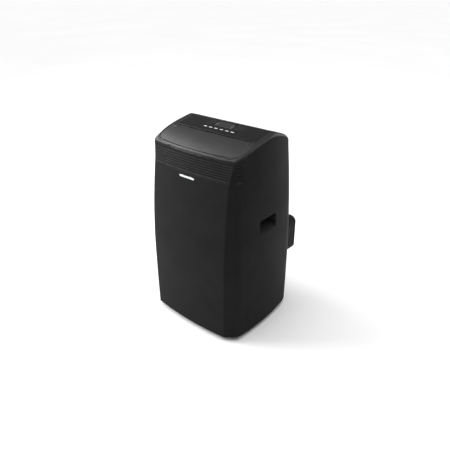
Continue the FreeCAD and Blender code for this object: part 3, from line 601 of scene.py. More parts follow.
# ---- top cover ----
OPENING_MARGIN = 1.2
LID_INSET = 0.6  # the lid's own edge stays inside its CAD outline
OPENING_X = FLAP_HALF + OPENING_MARGIN
OVERLAY_HALF = 184.0
OVERLAY_Y = (FLAP_OPENING_REAR_Y + 2.0, CREST_Y - 4.0)
CHEEK_X = SCOOP_HALF + 0.6
CREST_SOFT = 4.0
COVER_GAP = 1.5  # shadow gap above the side panels


CHEEK_CURVES = ((62, 761, 122, 744, 155, 722), (155, 722, 186, 702, 202, 676))


def cheek_z(y):
    """Height of the cover behind the crest, beside the scoop."""
    start_y, start_z = CHEEK_CURVES[0][:2]
    if y < start_y:
        return lerp(CREST_Z, start_z, (y - CREST_Y) / (start_y - CREST_Y))
    return along_curves(CHEEK_CURVES, y)


def cover_z(y):
    """Height of the whole cover, with the crest rounded over."""
    if y <= CREST_Y - CREST_SOFT:
        return top_z(y)
    if y >= CREST_Y + CREST_SOFT:
        return cheek_z(y)
    t = (y - CREST_Y + CREST_SOFT) / (2 * CREST_SOFT)
    return bezier(top_z(CREST_Y - CREST_SOFT), CREST_Z, cheek_z(CREST_Y + CREST_SOFT), t)


def scoop_z(y):
    """Height of the sloping back between the cheeks."""
    return 760.0 - (y - 62.0) * 108.0 / 148.0


FRONT_STATIONS = 39
RING_PROFILE = ((0.0, 0.0), (1.4, 0.0), (2.5, 0.0), (2.8, 0.5), (3.1, 1.9), (4.8, 1.9), (5.1, 1.0),
                (5.5, 0.5))                  # offset from the flap's opening, and depth
SIDE_STEPS = (8, 3, 1, 12)  # side stations: flap, stepped corner, bar, overlay
SIDE_STATIONS = sum(SIDE_STEPS)
STEP_STATION = FRONT_STATIONS + SIDE_STEPS[0] - 1
BAR_STATION = STEP_STATION + SIDE_STEPS[1]
REAR_YS = [52.5, 54.0, 55.5, 58.0, 62.0, 70.0, 82.0, 96.0, 110.0, 124.0, 136.0, 148.0]
CORNER_STATIONS = 8
FIRST_REAR = FRONT_STATIONS + SIDE_STATIONS - 1
STATION_COUNT = FRONT_STATIONS + SIDE_STATIONS + len(REAR_YS) + CORNER_STATIONS
OVERLAY_REAR = OVERLAY_Y[1] + SEAM
DECK_XS = [OVERLAY_HALF + SEAM, (OVERLAY_HALF + SEAM + OPENING_X) / 2]
SIDE_STOPS = (FLAP_CORNER_Y + OPENING_MARGIN, FLAP_OPENING_REAR_Y, OVERLAY_Y[0] - SEAM, OVERLAY_REAR)
outlines = {}


def outline_at(z):
    """The right half of the cover's plan outline, as one point for each station."""
    key = round(z, 2)
    if key not in outlines:
        section = Section(key)
        points = section.front_part(FRONT_POINTS)
        y0 = points[-1].y
        for y1, count in zip(SIDE_STOPS, SIDE_STEPS):
            points += section.side_part(y0, y1, count)[1:]
            y0 = y1
        points += [section.side_at(y) for y in REAR_YS]
        end = section.corner_until(CHEEK_X + 2.4)
        points += [section.corner_at(end * (i + 1) / CORNER_STATIONS) for i in range(CORNER_STATIONS)]
        outlines[key] = points
    return outlines[key]


def flap_corner(margin):
    """The flap's front edge and corner, grown by margin, from the middle to the straight side."""
    front = Vector((105.0, -145.0 - margin))
    shoulder = Vector((150.0, -141.0 - margin))
    side = Vector((FLAP_HALF + margin, -95.0))
    middle = Vector((0.0, -149.8 - margin))
    blend = Vector((130.0, -143.9 - margin))
    knuckle = Vector((side.x - 5.0, -136.5 - margin))
    points = [bezier(Vector((-front.x, front.y)), middle, front, 0.5 + i / 40) for i in range(20)]
    points += [bezier(front, blend, shoulder, i / 5) for i in range(5)]
    return points + [bezier(shoulder, knuckle, side, i / 26) for i in range(27)]


def nearest_on(path, p):
    best, where = 1e9, path[0]
    for a, b in zip(path, path[1:]):
        t = min(1.0, max(0.0, (p - a).dot(b - a) / (b - a).length_squared))
        q = a.lerp(b, t)
        if (q - p).length < best:
            best, where = (q - p).length, q
    return where


def cover_row(k, opening):
    """Points across the cover at station k, from its inner edge to the bottom of its side wall."""
    rim = rim_z(outline_at(715.0)[k].y) + COVER_GAP
    z = 740.0
    for _ in range(30):
        p = outline_at(z)[k]
        z = max(cover_z(p.y), rim + 0.5)
    edge = outline_at(z)[k]
    rear = k > FIRST_REAR
    inner = Vector((OPENING_X, edge.y))
    if rear:
        share = (OPENING_X - CHEEK_X) / (outline_at(750.0)[FIRST_REAR].x - CHEEK_X)
        inner.x = lerp(CHEEK_X, edge.x, share)
    elif k < STEP_STATION:
        inner = nearest_on(opening, edge)
    width = (edge - inner).length
    soft = min(1.6, 0.35 * width, 0.45 * (z - rim))
    into = (inner - edge).normalized()
    brim = edge + into * soft
    row = []
    groove = smooth((-edge.y - 126) / 10) * smooth((width - 8) / 1.5)
    for i, (offset, depth) in enumerate(RING_PROFILE):
        q = inner.lerp(brim, lerp(i / len(RING_PROFILE), offset / width, groove))
        row.append(place(q.x, q.y, cover_z(q.y) - depth * groove))
    a = place(brim.x, brim.y, cover_z(brim.y))
    low = outline_at(z - soft)[k]
    b = place(low.x, low.y, z - soft)
    corner = place(edge.x, edge.y, z)
    row += [bezier(a, corner, b, i / 5) for i in range(6)]
    for i in (1, 2, 3):
        level = lerp(z - soft, rim, i / 3)
        q = outline_at(level)[k]
        row.append(place(q.x, q.y, level))
    return row


SCOOP_START_Y = 58.0


def cover_front(bm, front):
    """The ring round the flap, the strips beside the overlay and the bar behind the hinge edge."""
    grid_faces(bm, [mirrored(row) for row in reversed(front[1:])] + front)
    neck = FLAP_NECK + OPENING_MARGIN
    for first, last, xs in (
        (STEP_STATION, BAR_STATION + 1, [neck, (neck + DECK_XS[0]) / 2] + DECK_XS),
        (BAR_STATION + 1, FIRST_REAR, DECK_XS),
    ):
        strip = []
        for row in front[first:last + 1]:
            y = row[0].y * 1000 + SHIFT
            strip.append([place(x, y, cover_z(y)) for x in xs] + [row[0]])
        grid_faces(bm, strip)
        grid_faces(bm, [mirrored(row) for row in strip])
    xs = [neck * i / 24 for i in range(-24, 25)]
    grid_faces(bm, [[place(x, y, top_z(y)) for x in xs] for y in SIDE_STOPS[1:3]])


def cheek_row(k, opening):
    """The row at station k behind the overlay, with the cheek's inner wall down to the scoop."""
    row = cover_row(k, opening)
    start = row[0]
    y = start.y * 1000 + SHIFT
    top = cover_z(y)
    drop = max(0.0, top - scoop_z(y)) if y > SCOOP_START_Y else 0.0
    soft = min(2.0, drop * 0.4)
    if drop > 0:
        inner = [place(CHEEK_X, y, lerp(top - soft, top - drop, i / 3)) for i in (3, 2, 1)]
        a = place(CHEEK_X, y, top - soft)
        b = place(CHEEK_X + soft, y, top)
        inner += [bezier(a, place(CHEEK_X, y, top), b, i / 3) for i in range(3)]
    else:
        inner = [place(CHEEK_X, y, top)] * 6
    x0 = CHEEK_X + soft
    x1 = start.x * 1000
    split = lerp(x0, x1, (DECK_XS[0] - CHEEK_X) / (OPENING_X - CHEEK_X))
    xs = [lerp(x0, split, i / 4) for i in range(4)] + [split, (split + x1) / 2]
    return inner + [place(x, y, top) for x in xs] + row


def back_edge_column(x, last_y):
    """From the last row of the scoop at x to the cabinet's rear face and over its edge."""
    section = Section(665.0)
    if abs(x) < section.corner.x:
        end = section.rear
    else:
        end = section.corner_at(section.corner_until(abs(x))).y
    end = max(end, last_y + 0.4)
    ys = [lerp(last_y, end - 1.5, t) for t in (0.5, 1.0)]
    column = [place(x, y, scoop_z(y)) for y in ys]
    z = scoop_z(end)
    a = column[-1]
    b = place(x, end, z - 1.5)
    column += [bezier(a, place(x, end, z), b, i / 3) for i in (1, 2, 3)]
    column += [place(x, end, lerp(z - 1.5, REAR_PANEL_TOP + SEAM, t)) for t in (0.5, 1.0)]
    return column


def cover_scoop(bm, rear):
    """The crest and the sloping back between the cheeks."""
    xs = [CHEEK_X * i / 12 for i in range(-12, 13)]
    rows = []
    for row in rear:
        y = row[0].y * 1000 + SHIFT
        height = scoop_z(y) if y > SCOOP_START_Y else cover_z(y)
        rows.append([place(x, y, height) for x in xs])
    last_y = rear[-1][0].y * 1000 + SHIFT
    tail = [back_edge_column(x, last_y) for x in xs]
    rows += [[column[i] for column in tail] for i in range(len(tail[0]))]
    grid_faces(bm, rows)


def top_cover():
    opening = flap_corner(OPENING_MARGIN) + [Vector((OPENING_X, SIDE_STOPS[0]))]
    bm = bmesh.new()
    cover_front(bm, [cover_row(k, opening) for k in range(FIRST_REAR + 1)])
    rear = [cheek_row(k, opening) for k in range(FIRST_REAR, STATION_COUNT - 1)]
    grid_faces(bm, rear)
    grid_faces(bm, [mirrored(row) for row in rear])
    cover_scoop(bm, rear)
    return make("cover_shell", bm, slot="top_plastic", replaces=["top_cover"], bevel=0.8,
                wall=2.6, outward=place(0, 20, 500), sharp=58)


def overlay_bed():
    """The shelf of the cover under the overlay, left open along the row of keys."""
    xs = [186 * i / 24 for i in range(-24, 25)]
    key_row = (BUTTON_Y - BUTTON_SIZE[1] / 2 - 2, BUTTON_Y + BUTTON_SIZE[1] / 2 + 2)
    ys = [OVERLAY_Y[0] - SEAM - 1, *key_row]
    ys += [lerp(key_row[1], OVERLAY_REAR + 1, i / 6) for i in range(1, 7)]
    rows = [[place(x, y, top_z(y) - 1.55) for x in xs] for y in ys]
    return sheet("overlay_bed", rows, lambda i, j: i == 1 and abs(xs[j] + xs[j + 1]) / 2 < 82,
                 slot="top_plastic", wall=1.5, outward=place(0, 0, 500))


def cover_post(sign):
    """The narrow strip of the cover between a side panel and the rear panel."""
    rows = []
    for i in range(9):
        z = lerp(REAR_PANEL_TOP + SEAM, rim_z(188.0) + SEAM, i / 8)
        section = Section(z)
        t0, t1 = (section.corner_until(x) for x in (REAR_SPLIT_X - 0.4, CHEEK_X - 2.0))
        row = [section.corner_at(lerp(t0, t1, j / 3)) for j in range(4)]
        rows.append([place(sign * p.x, p.y, z) for p in row])
    return sheet("cover_post_" + side_name(sign), rows, slot="top_plastic", wall=2.6,
                 outward=place(0, 0, 600))


# ---- flap ----
def ring_sheet(bm, outline, spine, shares, lift):
    """A sheet that shrinks an outline onto a spine, so that its rows follow its edge."""
    rings = []
    for share in shares:
        ring = []
        for p in outline:
            c = spine(p)
            q = c + (p - c) * share
            ring.append(bm.verts.new(lift(q.x, q.y)))
        rings.append(ring)
    for a, b in zip(rings, rings[1:]):
        bridge(bm, a, b)


def flap_lid():
    half = flap_corner(-LID_INSET)
    end = FLAP_HALF - LID_INSET
    side = [Vector((end, lerp(-95.0, FLAP_CORNER_Y, i / 7))) for i in range(1, 8)]
    side += [Vector((lerp(end, FLAP_NECK, i / 5), FLAP_CORNER_Y)) for i in range(1, 6)]
    side += [Vector((FLAP_NECK, lerp(FLAP_CORNER_Y, FLAP_REAR_Y, i / 3))) for i in range(1, 4)]
    front_xs = sorted({round(p.x, 4) for p in half if p.x <= 124})
    rear = [Vector((x, FLAP_REAR_Y)) for x in (160.0, 148.0, 136.0)]
    rear += [Vector((x, FLAP_REAR_Y)) for x in reversed(front_xs)]
    right = half + side + rear
    left = [Vector((-p.x, p.y)) for p in reversed(right) if p.x > 1e-6]
    outline = right + left
    limit = front_xs[-1]

    def spine(p):
        return Vector((min(limit, max(-limit, p.x)), -96.0))

    bm = bmesh.new()
    ring_sheet(bm, outline, spine, (1.0, 0.975, 0.94, 0.9, 0.84, 0.75, 0.6, 0.4, 0.2, 0.0),
               lambda x, y: place(x, y, top_z(y)))
    return make("flap_lid", bm, body="flap", slot="flap_plastic", replaces=["flap"], bevel=1.4,
                wall=FLAP_THICK, outward=place(0, -90, 400), sharp=58)


FLAP_AXIS_Z = 736.0
PIN_PROFILE = ((-14, 0.4), (-14, 2.8), (-13.7, 3.1), (-0.6, 3.1), (-0.3, 2.8), (-0.3, 1.5),
               (5.7, 1.5), (6.0, 1.2), (6.0, 0.3))      # along the axis from the neck, and radius
WEB_PROFILE = ((-13, 0.3), (-12.7, 0.0), (-1.3, 0.0), (-1, 0.3))


def flap_pin(sign):
    """The boss under a rear corner of the flap with its stub pin."""
    turns = [i * math.pi / 10 for i in range(20)]
    loops = []
    for dx, r in PIN_PROFILE:
        x = sign * (FLAP_NECK + dx)
        loops.append([place(x, FLAP_AXIS_Y + r * math.cos(a), FLAP_AXIS_Z + r * math.sin(a))
                      for a in turns])
    return solid("flap_pin_" + side_name(sign), loops, body="flap", slot="flap_plastic")


def flap_web(sign):
    """The web that carries a boss under the flap."""
    top = FLAP_AXIS_Z + 5.0
    loops = []
    for dx, inset in WEB_PROFILE:
        y0, y1 = FLAP_AXIS_Y - 3.0 + inset, FLAP_REAR_Y - inset
        low = FLAP_AXIS_Z + inset
        loops.append([place(sign * (FLAP_NECK + dx), y, z)
                      for y, z in ((y0, low), (y1, low), (y1, top), (y0, top))])
    return solid("flap_web_" + side_name(sign), loops, body="flap", slot="flap_plastic", flat=True)


# ---- control area ----
SLOPE = math.atan(CONTROL_SLOPE)


def on_controls(x, y, lift=0.0):
    """A point above the flat middle of the control area, lifted along its normal."""
    z = HINGE_GAP_Z + CONTROL_SLOPE * (y - HINGE_GAP_Y)
    return place(x, y - lift * math.sin(SLOPE), z + lift * math.cos(SLOPE))


def control_overlay():
    xs = [-OVERLAY_HALF, -OVERLAY_HALF + 2.5, -160, -130, -100]
    for x in BUTTON_XS:
        half = BUTTON_SIZE[0] / 2 + 2.6
        xs += [x - half + 2 * half * i / 6 for i in range(7)]
    xs += [100, 130, 160, OVERLAY_HALF - 2.5, OVERLAY_HALF]
    key_y = [BUTTON_Y - BUTTON_SIZE[1] / 2 - 2.6 + (BUTTON_SIZE[1] + 5.2) * i / 4 for i in range(5)]
    y_low, y_high = DISPLAY_Y - DISPLAY_SIZE[1] / 2 - 3, DISPLAY_Y + DISPLAY_SIZE[1] / 2 + 3
    ys = [OVERLAY_Y[0], OVERLAY_Y[0] + 2.5, -24.0] + key_y
    ys += [y_low + (y_high - y_low) * i / 6 for i in range(7)]
    ys += [OVERLAY_Y[1] - 2.5, OVERLAY_Y[1]]
    surface = Surface(lambda x, y: place(x, y, top_z(y)), xs, ys)
    blocks = []
    for i, x in enumerate(BUTTON_XS):
        j0 = 5 + 7 * i
        blocks.append(((3, 7, j0, j0 + 6), x, BUTTON_Y, BUTTON_SIZE, 1.5, 0.5))
    wide = DISPLAY_SIZE[0] / 2 + 3
    j0 = max(j for j, x in enumerate(xs) if x < -wide)
    j1 = min(j for j, x in enumerate(xs) if x > wide)
    blocks.append(((8, 14, j0, j1), 0.0, DISPLAY_Y, DISPLAY_SIZE, 2.0, 0.4))

    def skip(i, j):
        return any(b[0] <= i < b[1] and b[2] <= j < b[3] for b, *_ in blocks)

    bm = bmesh.new()
    grid = grid_faces(bm, surface.rows(), skip)
    for block, x, y, size, radius, gap in blocks:
        low = (x - size[0] / 2 - gap, y - size[1] / 2 - gap)
        high = (x + size[0] / 2 + gap, y + size[1] / 2 + gap)
        cut_hole(bm, grid, block, low, high, [radius] * 4, surface, steps=2)
    return make("control_overlay", bm, slot="control_overlay", replaces=["control_panel"],
                bevel=0.25, wall=1.35, outward=place(0, 0, 400), sharp=58)


def plate(name, x0, x1, y0, y1, radius, base, top, soft, slot, replaces, body="cabinet", dish=0.0):
    """A rounded plate on the control area, from base to top along the normal."""
    def loop(height, grow):
        return [on_controls(p.x, p.y, height) for p in round_rect(x0, x1, y0, y1, radius, 8, grow)]

    loops = [loop(base, -soft), loop(base + soft, 0.0), loop(top - soft, 0.0)]
    loops += [loop(top - soft * 0.3, -soft * 0.3), loop(top, -soft)]
    least = min(x1 - x0, y1 - y0) / 2
    loops += [loop(top - dish * 0.5, -soft - least * 0.2), loop(top - dish, -soft - least * 0.45)]
    return solid(name, loops, body=body, slot=slot, replaces=replaces, sharp=40)


def keys_and_display():
    for i, x in enumerate(BUTTON_XS, 1):
        w, h = BUTTON_SIZE[0] / 2, BUTTON_SIZE[1] / 2
        body = "button_%d" % i
        plate("key_cap_%d" % i, x - w, x + w, BUTTON_Y - h, BUTTON_Y + h, 1.2, -3.0, 1.0, 0.4,
              "key_caps", ["button_%d" % i], body, dish=0.15)
    w, h = DISPLAY_SIZE[0] / 2, DISPLAY_SIZE[1] / 2
    plate("display_window", -w, w, DISPLAY_Y - h, DISPLAY_Y + h, 2.0, -1.3, 0.0, 0.25,
          "display_window", ["display_lens"])


# ---- printed marks and badge ----
PAINTED = []  # printed marks, each with its material's name


def mark(name, x0, x1, y0, y1, radius, body="cabinet", lift=0.02, material="print_pale"):
    """A thin printed bar on the control area."""
    def loop(height, grow):
        points = round_rect(x0, x1, y0, y1, radius, 4, grow)
        return [on_controls(p.x, p.y, height + lift) for p in points]

    loops = [loop(-0.04, 0.0), loop(0.04, 0.0), loop(0.07, -0.04)]
    piece = solid(name, loops, body=body, sharp=60)
    PAINTED.append((piece, material))
    return piece


def printed_marks():
    for i, x in enumerate(BUTTON_XS, 1):
        body = "button_%d" % i
        mark("key_mark_%d" % i, x - 7.4, x + 7.4, BUTTON_Y - 1.6, BUTTON_Y + 1.6, 0.6, body, 0.88)
    for sign, side in ((-1, "left"), (1, "right")):
        x = sign * 36.5
        mark("divider_" + side, x - 0.7, x + 0.7, 8.5, 33.5, 0.5, material="print_mid")
        for row in range(3):
            for col in range(3):
                cx = sign * (56.0 + 11.0 * col)
                cy = 13.0 + 11.0 * row
                width = (3.0, 2.2, 3.6)[(row + col) % 3]
                name = "icon_%s_%d_%d" % (side, row, col)
                mark(name, cx - width, cx + width, cy - 0.8, cy + 0.8, 0.5, material="print_faint")


BADGE_HALF = 35.0
BADGE_Z = (612.6, 619.4)


def badge():
    """A plain raised bar on the front panel."""
    def raised(x, z, h):
        section = Section(z)
        slope = 2 * FRONT_BOW * x / HALF_WIDTH ** 2
        return place(x + slope * h, section.front_y(x) - h, z)

    def loop(height, grow):
        points = round_rect(-BADGE_HALF, BADGE_HALF, BADGE_Z[0], BADGE_Z[1], 2.6, 14, grow)
        return [raised(p.x, p.y, height) for p in points]

    profile = ((0.1, 0.0), (0.8, 0.0), (1.05, -0.12), (1.2, -0.45), (1.2, -2.0))
    return solid("badge_bar", [loop(height, grow) for height, grow in profile],
                 slot="badge_metal", replaces=["badge"], sharp=40)


# ---- materials ----
class Nodes:
    """A short way to write a material's node tree."""

    def __init__(self, name):
        self.material = bpy.data.materials.new(name)
        self.material.use_nodes = True
        self.tree = self.material.node_tree
        self.shader = self.tree.nodes["Principled BSDF"]
        self.where = self.add("ShaderNodeTexCoord").outputs["Object"]

    def add(self, kind, **settings):
        node = self.tree.nodes.new(kind)
        for key, value in settings.items():
            if key in node.inputs:
                node.inputs[key].default_value = value
            else:
                setattr(node, key, value)
        return node

    def link(self, a, b):
        self.tree.links.new(a, b)

    def drive(self, socket, value):
        self.link(value, self.shader.inputs[socket])

    def fix(self, socket, value):
        self.shader.inputs[socket].default_value = value

    def noise(self, scale, detail=3.0, rough=0.55):
        node = self.add("ShaderNodeTexNoise", Scale=scale, Detail=detail, Roughness=rough)
        self.link(self.where, node.inputs["Vector"])
        return node.outputs["Fac"]

    def cells(self, scale):
        node = self.add("ShaderNodeTexVoronoi", Scale=scale)
        self.link(self.where, node.inputs["Vector"])
        return node.outputs["Distance"]

    def waves(self, axis, frequency):
        """A sine along one axis of the object."""
        parts = self.add("ShaderNodeSeparateXYZ")
        self.link(self.where, parts.inputs["Vector"])
        wave = self.add("ShaderNodeMath", operation="MULTIPLY")
        self.link(parts.outputs[axis], wave.inputs[0])
        wave.inputs[1].default_value = frequency
        sine = self.add("ShaderNodeMath", operation="SINE")
        self.link(wave.outputs[0], sine.inputs[0])
        return sine.outputs[0]

    def spread(self, value, low, high, from_low=0.3, from_high=0.7):
        node = self.add("ShaderNodeMapRange")
        node.inputs["From Min"].default_value = from_low
        node.inputs["From Max"].default_value = from_high
        node.inputs["To Min"].default_value = low
        node.inputs["To Max"].default_value = high
        self.link(value, node.inputs["Value"])
        return node.outputs["Result"]

    def blend(self, factor, a, b):
        """A colour from a to b."""
        node = self.add("ShaderNodeMix", data_type="RGBA")
        if hasattr(a, "links"):
            self.link(a, node.inputs[6])
        else:
            node.inputs[6].default_value = (*a, 1.0)
        node.inputs[7].default_value = (*b, 1.0)
        self.link(factor, node.inputs[0])
        return node.outputs[2]

    def edge_wear_and_highlight(self, low=0.515, high=0.56):
        """Follows the outer edges of the mesh, where they face upwards: a mask for edge wear and for a
        painted highlight where the light from above catches the edges.
        """
        geometry = self.add("ShaderNodeNewGeometry")
        parts = self.add("ShaderNodeSeparateXYZ")
        self.link(geometry.outputs["Normal"], parts.inputs["Vector"])
        both = self.add("ShaderNodeMath", operation="MULTIPLY")
        self.link(self.spread(geometry.outputs["Pointiness"], 0.0, 1.0, low, high), both.inputs[0])
        # weighting by the upward normal is what paints the highlight: edges lighten where light from
        # above falls
        self.link(self.spread(parts.outputs["Z"], 0.0, 1.0, 0.1, 0.45), both.inputs[1])
        return both.outputs[0]

    def bump(self, height, distance, strength=1.0):
        node = self.add("ShaderNodeBump", Strength=strength, Distance=distance)
        self.link(height, node.inputs["Height"])
        before = self.shader.inputs["Normal"].links
        if before:
            self.link(before[0].from_socket, node.inputs["Normal"])
        self.link(node.outputs["Normal"], self.shader.inputs["Normal"])


def grey(v):
    return (v, v, v * 1.01)


def plastic(name, colour, rough=0.42, grain=1300.0, depth=0.00006, specular=0.3, edge_wear_and_highlight=0.35, polish=0.0):
    """Moulded plastic: fine grain, uneven gloss, and upward-facing edges lightened, partly as rubbed
    wear and partly as a painted highlight.
    """
    n = Nodes(name)
    light = tuple(c * 1.12 + 0.0008 for c in colour)
    dark = tuple(c * 0.88 for c in colour)
    base = n.blend(n.spread(n.noise(9.0, 4.0), 0.0, 1.0), dark, light)
    # painted highlight with some rubbed wear: the base colour lightens on upward-facing edges
    rubbed_and_highlight = tuple(min(1.0, c * (1 + edge_wear_and_highlight) + 0.006 * edge_wear_and_highlight) for c in colour)
    worn_and_highlight = n.add("ShaderNodeMath", operation="MULTIPLY")
    n.link(n.edge_wear_and_highlight(), worn_and_highlight.inputs[0])
    n.link(n.spread(n.noise(60.0), 0.3, 1.0), worn_and_highlight.inputs[1])
    n.drive("Base Color", n.blend(worn_and_highlight.outputs[0], base, rubbed_and_highlight))
    n.drive("Roughness", n.spread(n.noise(5.0, 5.0), rough - 0.04, rough + 0.05))
    n.fix("Specular IOR Level", specular)
    if polish:
        shine = n.spread(worn_and_highlight.outputs[0], specular, polish, 0.0, 1.0)
        n.drive("Specular IOR Level", shine)
    n.bump(n.noise(grain, 2.0), depth)
    n.bump(n.cells(grain * 0.45), depth * 0.6)
    return n.material


def gloss(name, colour, rough=0.1, specular=0.4):
    """Hard glossy plastic with faint smears."""
    n = Nodes(name)
    base = n.blend(n.spread(n.noise(14.0, 3.0), 0.0, 1.0), tuple(c * 0.85 for c in colour), colour)
    n.drive("Base Color", base)
    n.drive("Roughness", n.spread(n.noise(24.0, 6.0), rough, rough + 0.07))
    n.fix("Specular IOR Level", specular)
    n.bump(n.noise(70.0, 2.0), 0.00003)
    return n.material


def metal(name, colour, rough=0.35, brush=(1.0, 1.0, 1.0), scale=400.0, spots=0.0):
    """Sheet or drawn metal, brushed along the axis with the smallest scale."""
    n = Nodes(name)
    stretch = n.add("ShaderNodeMapping")
    stretch.inputs["Scale"].default_value = brush
    n.link(n.where, stretch.inputs["Vector"])
    lines = n.add("ShaderNodeTexNoise", Scale=scale, Detail=3.0)
    n.link(stretch.outputs["Vector"], lines.inputs["Vector"])
    dull = tuple(c * 0.72 for c in colour)
    base = n.blend(n.spread(n.noise(30.0, 5.0), 0.0, 1.0), dull, colour)
    n.drive("Base Color", base)
    n.fix("Metallic", 1.0)
    n.drive("Roughness", n.spread(lines.outputs["Fac"], rough - 0.08, rough + 0.12))
    n.bump(lines.outputs["Fac"], 0.00008)
    if spots:
        n.bump(n.cells(90.0), spots)
    return n.material


def rubber(name, colour):
    """Dull rubber with a faint mottle."""
    n = Nodes(name)
    base = n.blend(n.spread(n.noise(40.0, 5.0), 0.0, 1.0), tuple(c * 0.7 for c in colour), colour)
    n.drive("Base Color", base)
    n.drive("Roughness", n.spread(n.noise(15.0, 5.0), 0.6, 0.82))
    n.fix("Specular IOR Level", 0.3)
    n.bump(n.noise(600.0, 4.0), 0.00015)
    return n.material


def mesh_cloth(name, colour):
    """A woven filter cloth: crossing threads along X and Z."""
    n = Nodes(name)
    top = n.add("ShaderNodeMath", operation="MAXIMUM")
    n.link(n.waves("X", 2600.0), top.inputs[0])
    n.link(n.waves("Z", 2600.0), top.inputs[1])
    weave = n.spread(top.outputs[0], 0.0, 1.0, -0.2, 1.0)
    n.drive("Base Color", n.blend(weave, tuple(c * 0.25 for c in colour), colour))
    n.drive("Roughness", n.spread(n.noise(30.0), 0.6, 0.8))
    n.bump(weave, 0.0004)
    return n.material


def fins(name, colour):
    """Thin aluminium fins standing close together along X, with painted shade darkening the gaps between
    them.
    """
    n = Nodes(name)
    fins_and_gap_shade = n.spread(n.waves("X", 3500.0), 0.0, 1.0, -1.0, 1.0)
    # painted shade: the base colour drops to a fifth in the gaps between the fins
    n.drive("Base Color", n.blend(fins_and_gap_shade, tuple(c * 0.2 for c in colour), colour))
    n.fix("Metallic", 0.9)
    n.drive("Roughness", n.spread(n.noise(25.0), 0.3, 0.45))
    n.bump(fins_and_gap_shade, 0.0006)
    return n.material


def board_green(name):
    """Lacquered circuit board."""
    n = Nodes(name)
    base = n.blend(n.spread(n.cells(160.0), 0.0, 1.0, 0.1, 0.6), (0.004, 0.05, 0.02), (0.02, 0.14, 0.05))
    n.drive("Base Color", base)
    n.drive("Roughness", n.spread(n.noise(40.0), 0.25, 0.5))
    n.bump(n.cells(220.0), 0.0003)
    return n.material


FINISHES = {
    # painted highlight: the cabinet and cover lighten their upward-facing edges and rib ledges strongly
    "cabinet_plastic": plastic("cabinet_black", grey(0.0100), 0.5, specular=0.04, edge_wear_and_highlight=2.6, polish=0.5),
    "top_plastic": plastic("cover_black", grey(0.0085), 0.34, specular=0.3, edge_wear_and_highlight=2.2, polish=0.7),
    "flap_plastic": plastic("flap_black", grey(0.0135), 0.34, specular=0.34),
    "pocket_plastic": plastic("pocket_black", grey(0.017), 0.5, specular=0.06),
    "control_overlay": gloss("overlay_black", grey(0.0065), 0.3, 0.2),
    "display_window": gloss("window_black", grey(0.032), 0.12, 0.4),
    "key_caps": plastic("key_black", grey(0.02), 0.34, 1800.0, 0.00003),
    "badge_metal": metal("badge_silver", (0.62, 0.63, 0.64), 0.3, (1.0, 1.0, 24.0), 300.0),
    "adapter_plastic": plastic("adapter_black", grey(0.010), 0.48, specular=0.06),
    "grille_plastic": plastic("grille_black", grey(0.015), 0.44),
    "filter_mesh": mesh_cloth("filter_cloth", (0.10, 0.11, 0.12)),
    "inner_plastic": plastic("inner_black", grey(0.02), 0.5, 900.0, 0.00012),
    "fan_plastic": plastic("fan_grey", grey(0.06), 0.45, 900.0, 0.0001),
    "pan_steel": metal("galvanised", (0.42, 0.44, 0.46), 0.45, (1.0, 1.0, 1.0), 120.0, 0.00012),
    "caster_plastic": plastic("caster_black", grey(0.014), 0.42),
    "caster_tread": rubber("tread_grey", grey(0.03)),
    "rubber": rubber("rubber_black", grey(0.02)),
    "drain_plastic": plastic("drain_black", grey(0.018), 0.5),
    "screw_steel": metal("screw_dark", (0.16, 0.16, 0.17), 0.35, (1.0, 1.0, 1.0), 700.0),
    "coil_aluminium": fins("coil_fins", (0.72, 0.74, 0.76)),
    "motor_steel": metal("motor_case", (0.5, 0.51, 0.53), 0.35, (1.0, 12.0, 1.0), 260.0),
    "compressor_paint": plastic("compressor_black", grey(0.012), 0.3, 500.0, 0.0002),
    "copper": metal("copper_tube", (0.78, 0.38, 0.22), 0.3, (1.0, 1.0, 8.0), 300.0),
    "board": board_green("board_green"),
}
NODE_FINISHES = {  # plainer versions for the coarser CAD meshes
    "cabinet_plastic": plastic("panel_black", grey(0.0100), 0.5, specular=0.06, edge_wear_and_highlight=0.0),
    "top_plastic": plastic("trim_black", grey(0.0100), 0.5, specular=0.06, edge_wear_and_highlight=0.0),
}
PRINTS = {
    "print_mid": plastic("print_mid", (0.26, 0.264, 0.27), 0.5, 900.0, 0.00002),
    "print_pale": plastic("print_pale", (0.62, 0.63, 0.64), 0.5, 900.0, 0.00002),
    "print_faint": plastic("print_faint", (0.055, 0.056, 0.058), 0.5, 900.0, 0.00002),
}


def paint(piece, material):
    piece.data.materials.clear()
    piece.data.materials.append(material)


def paint_all():
    slot_of = {part["node"]: part["material_slot"] for part in frame["record"]["subparts"]}
    for name, node in NODES.items():
        slot = slot_of[name]
        paint(node, NODE_FINISHES.get(slot, FINISHES[slot]))
    for piece in bpy.context.scene.objects:
        if piece.type == "MESH" and "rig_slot" in piece:
            paint(piece, FINISHES[piece["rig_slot"]])
    for piece, finish in PAINTED:
        paint(piece, PRINTS[finish])


# ---- studio ----
def area_light(name, location, target, size, power):
    light = bpy.data.lights.new(name, "AREA")
    light.shape = "RECTANGLE"
    light.size, light.size_y = size
    light.energy = power
    lamp = add_object(name, light)
    lamp.location = location
    lamp.rotation_mode = "QUATERNION"
    lamp.rotation_quaternion = (Vector(target) - Vector(location)).to_track_quat("-Z", "Y")


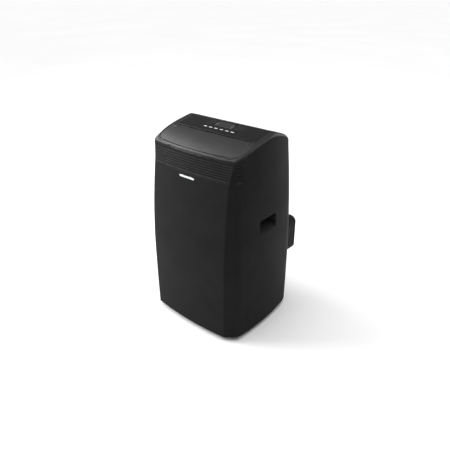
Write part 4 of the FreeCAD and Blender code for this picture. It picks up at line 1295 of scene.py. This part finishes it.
def studio():
    bm = bmesh.new()
    grid_faces(bm, [[Vector((x, y, 0.0)) for x in (-60, -3, 3, 60)] for y in (-60, -3, 3, 60)])
    floor = mesh_object("studio_floor", bm)
    n = Nodes("floor_white")
    patches = n.spread(n.noise(0.7), 0.0, 1.0)
    n.drive("Base Color", n.blend(patches, (0.90, 0.90, 0.90), (0.93, 0.93, 0.93)))
    n.drive("Roughness", n.spread(n.noise(2.0), 0.85, 0.95))
    n.fix("Specular IOR Level", 0.1)
    n.bump(n.noise(40.0), 0.0002)
    paint(floor, n.material)

    world = bpy.data.worlds.new("studio")
    bpy.context.scene.world = world
    world.use_nodes = True
    tree = world.node_tree
    background = tree.nodes["Background"]
    background.inputs["Color"].default_value = (1.0, 1.0, 1.0, 1.0)
    where = tree.nodes.new("ShaderNodeTexCoord")
    parts = tree.nodes.new("ShaderNodeSeparateXYZ")
    fade = tree.nodes.new("ShaderNodeMapRange")
    fade.interpolation_type = "SMOOTHSTEP"
    for key, value in (("From Min", 0.12), ("From Max", 0.34), ("To Min", 0.95), ("To Max", 0.14)):
        fade.inputs[key].default_value = value
    tree.links.new(where.outputs["Generated"], parts.inputs["Vector"])
    tree.links.new(parts.outputs["Z"], fade.inputs["Value"])
    tree.links.new(fade.outputs["Result"], background.inputs["Strength"])
    area_light("key", (-3.0, -2.2, 2.0), (0, 0, 0.35), (1.6, 1.6), 150)
    area_light("rim", (1.8, 2.2, 1.2), (0, 0, 0.35), (0.8, 1.2), 3)
    area_light("overhead", (-1.7, -0.1, 2.1), (-0.1, -0.1, 0.74), (0.9, 0.9), 22)
    sky = bpy.data.lights.new("sky", "SUN")
    sky.energy = 2.8
    sky.angle = math.radians(80)
    add_object("sky", sky)


CAMERA_AZIMUTH = math.radians(41.49)
CAMERA_ELEVATION = math.radians(26.94)
CAMERA_DISTANCE = 1.8565


def camera():
    data = bpy.data.cameras.new("camera")
    data.sensor_width = 36.0
    data.lens = 37.79
    data.clip_start, data.clip_end = 0.05, 50.0
    cam = add_object("camera", data)
    az, el = CAMERA_AZIMUTH, CAMERA_ELEVATION
    back = Vector((math.sin(az) * math.cos(el), -math.cos(az) * math.cos(el), math.sin(el)))
    right = Vector((math.cos(az), math.sin(az), 0.0))
    up = back.cross(right)
    target = Vector((0.0, -SHIFT / 1000, 0.363)) + right * 0.01486 + up * 0.00113
    cam.location = target + back * CAMERA_DISTANCE
    cam.rotation_mode = "QUATERNION"
    cam.rotation_quaternion = back.to_track_quat("Z", "Y")
    bpy.context.scene.camera = cam
    bpy.context.scene.view_settings.view_transform = "Standard"


front_panel()
side_shell(1)
side_shell(-1)
grip_liner(1)
grip_liner(-1)
top_cover()
overlay_bed()
cover_post(-1)
cover_post(1)
flap_lid()
for side_sign in (-1, 1):
    flap_pin(side_sign)
    flap_web(side_sign)
control_overlay()
keys_and_display()
printed_marks()
badge()
paint_all()
studio()
camera()
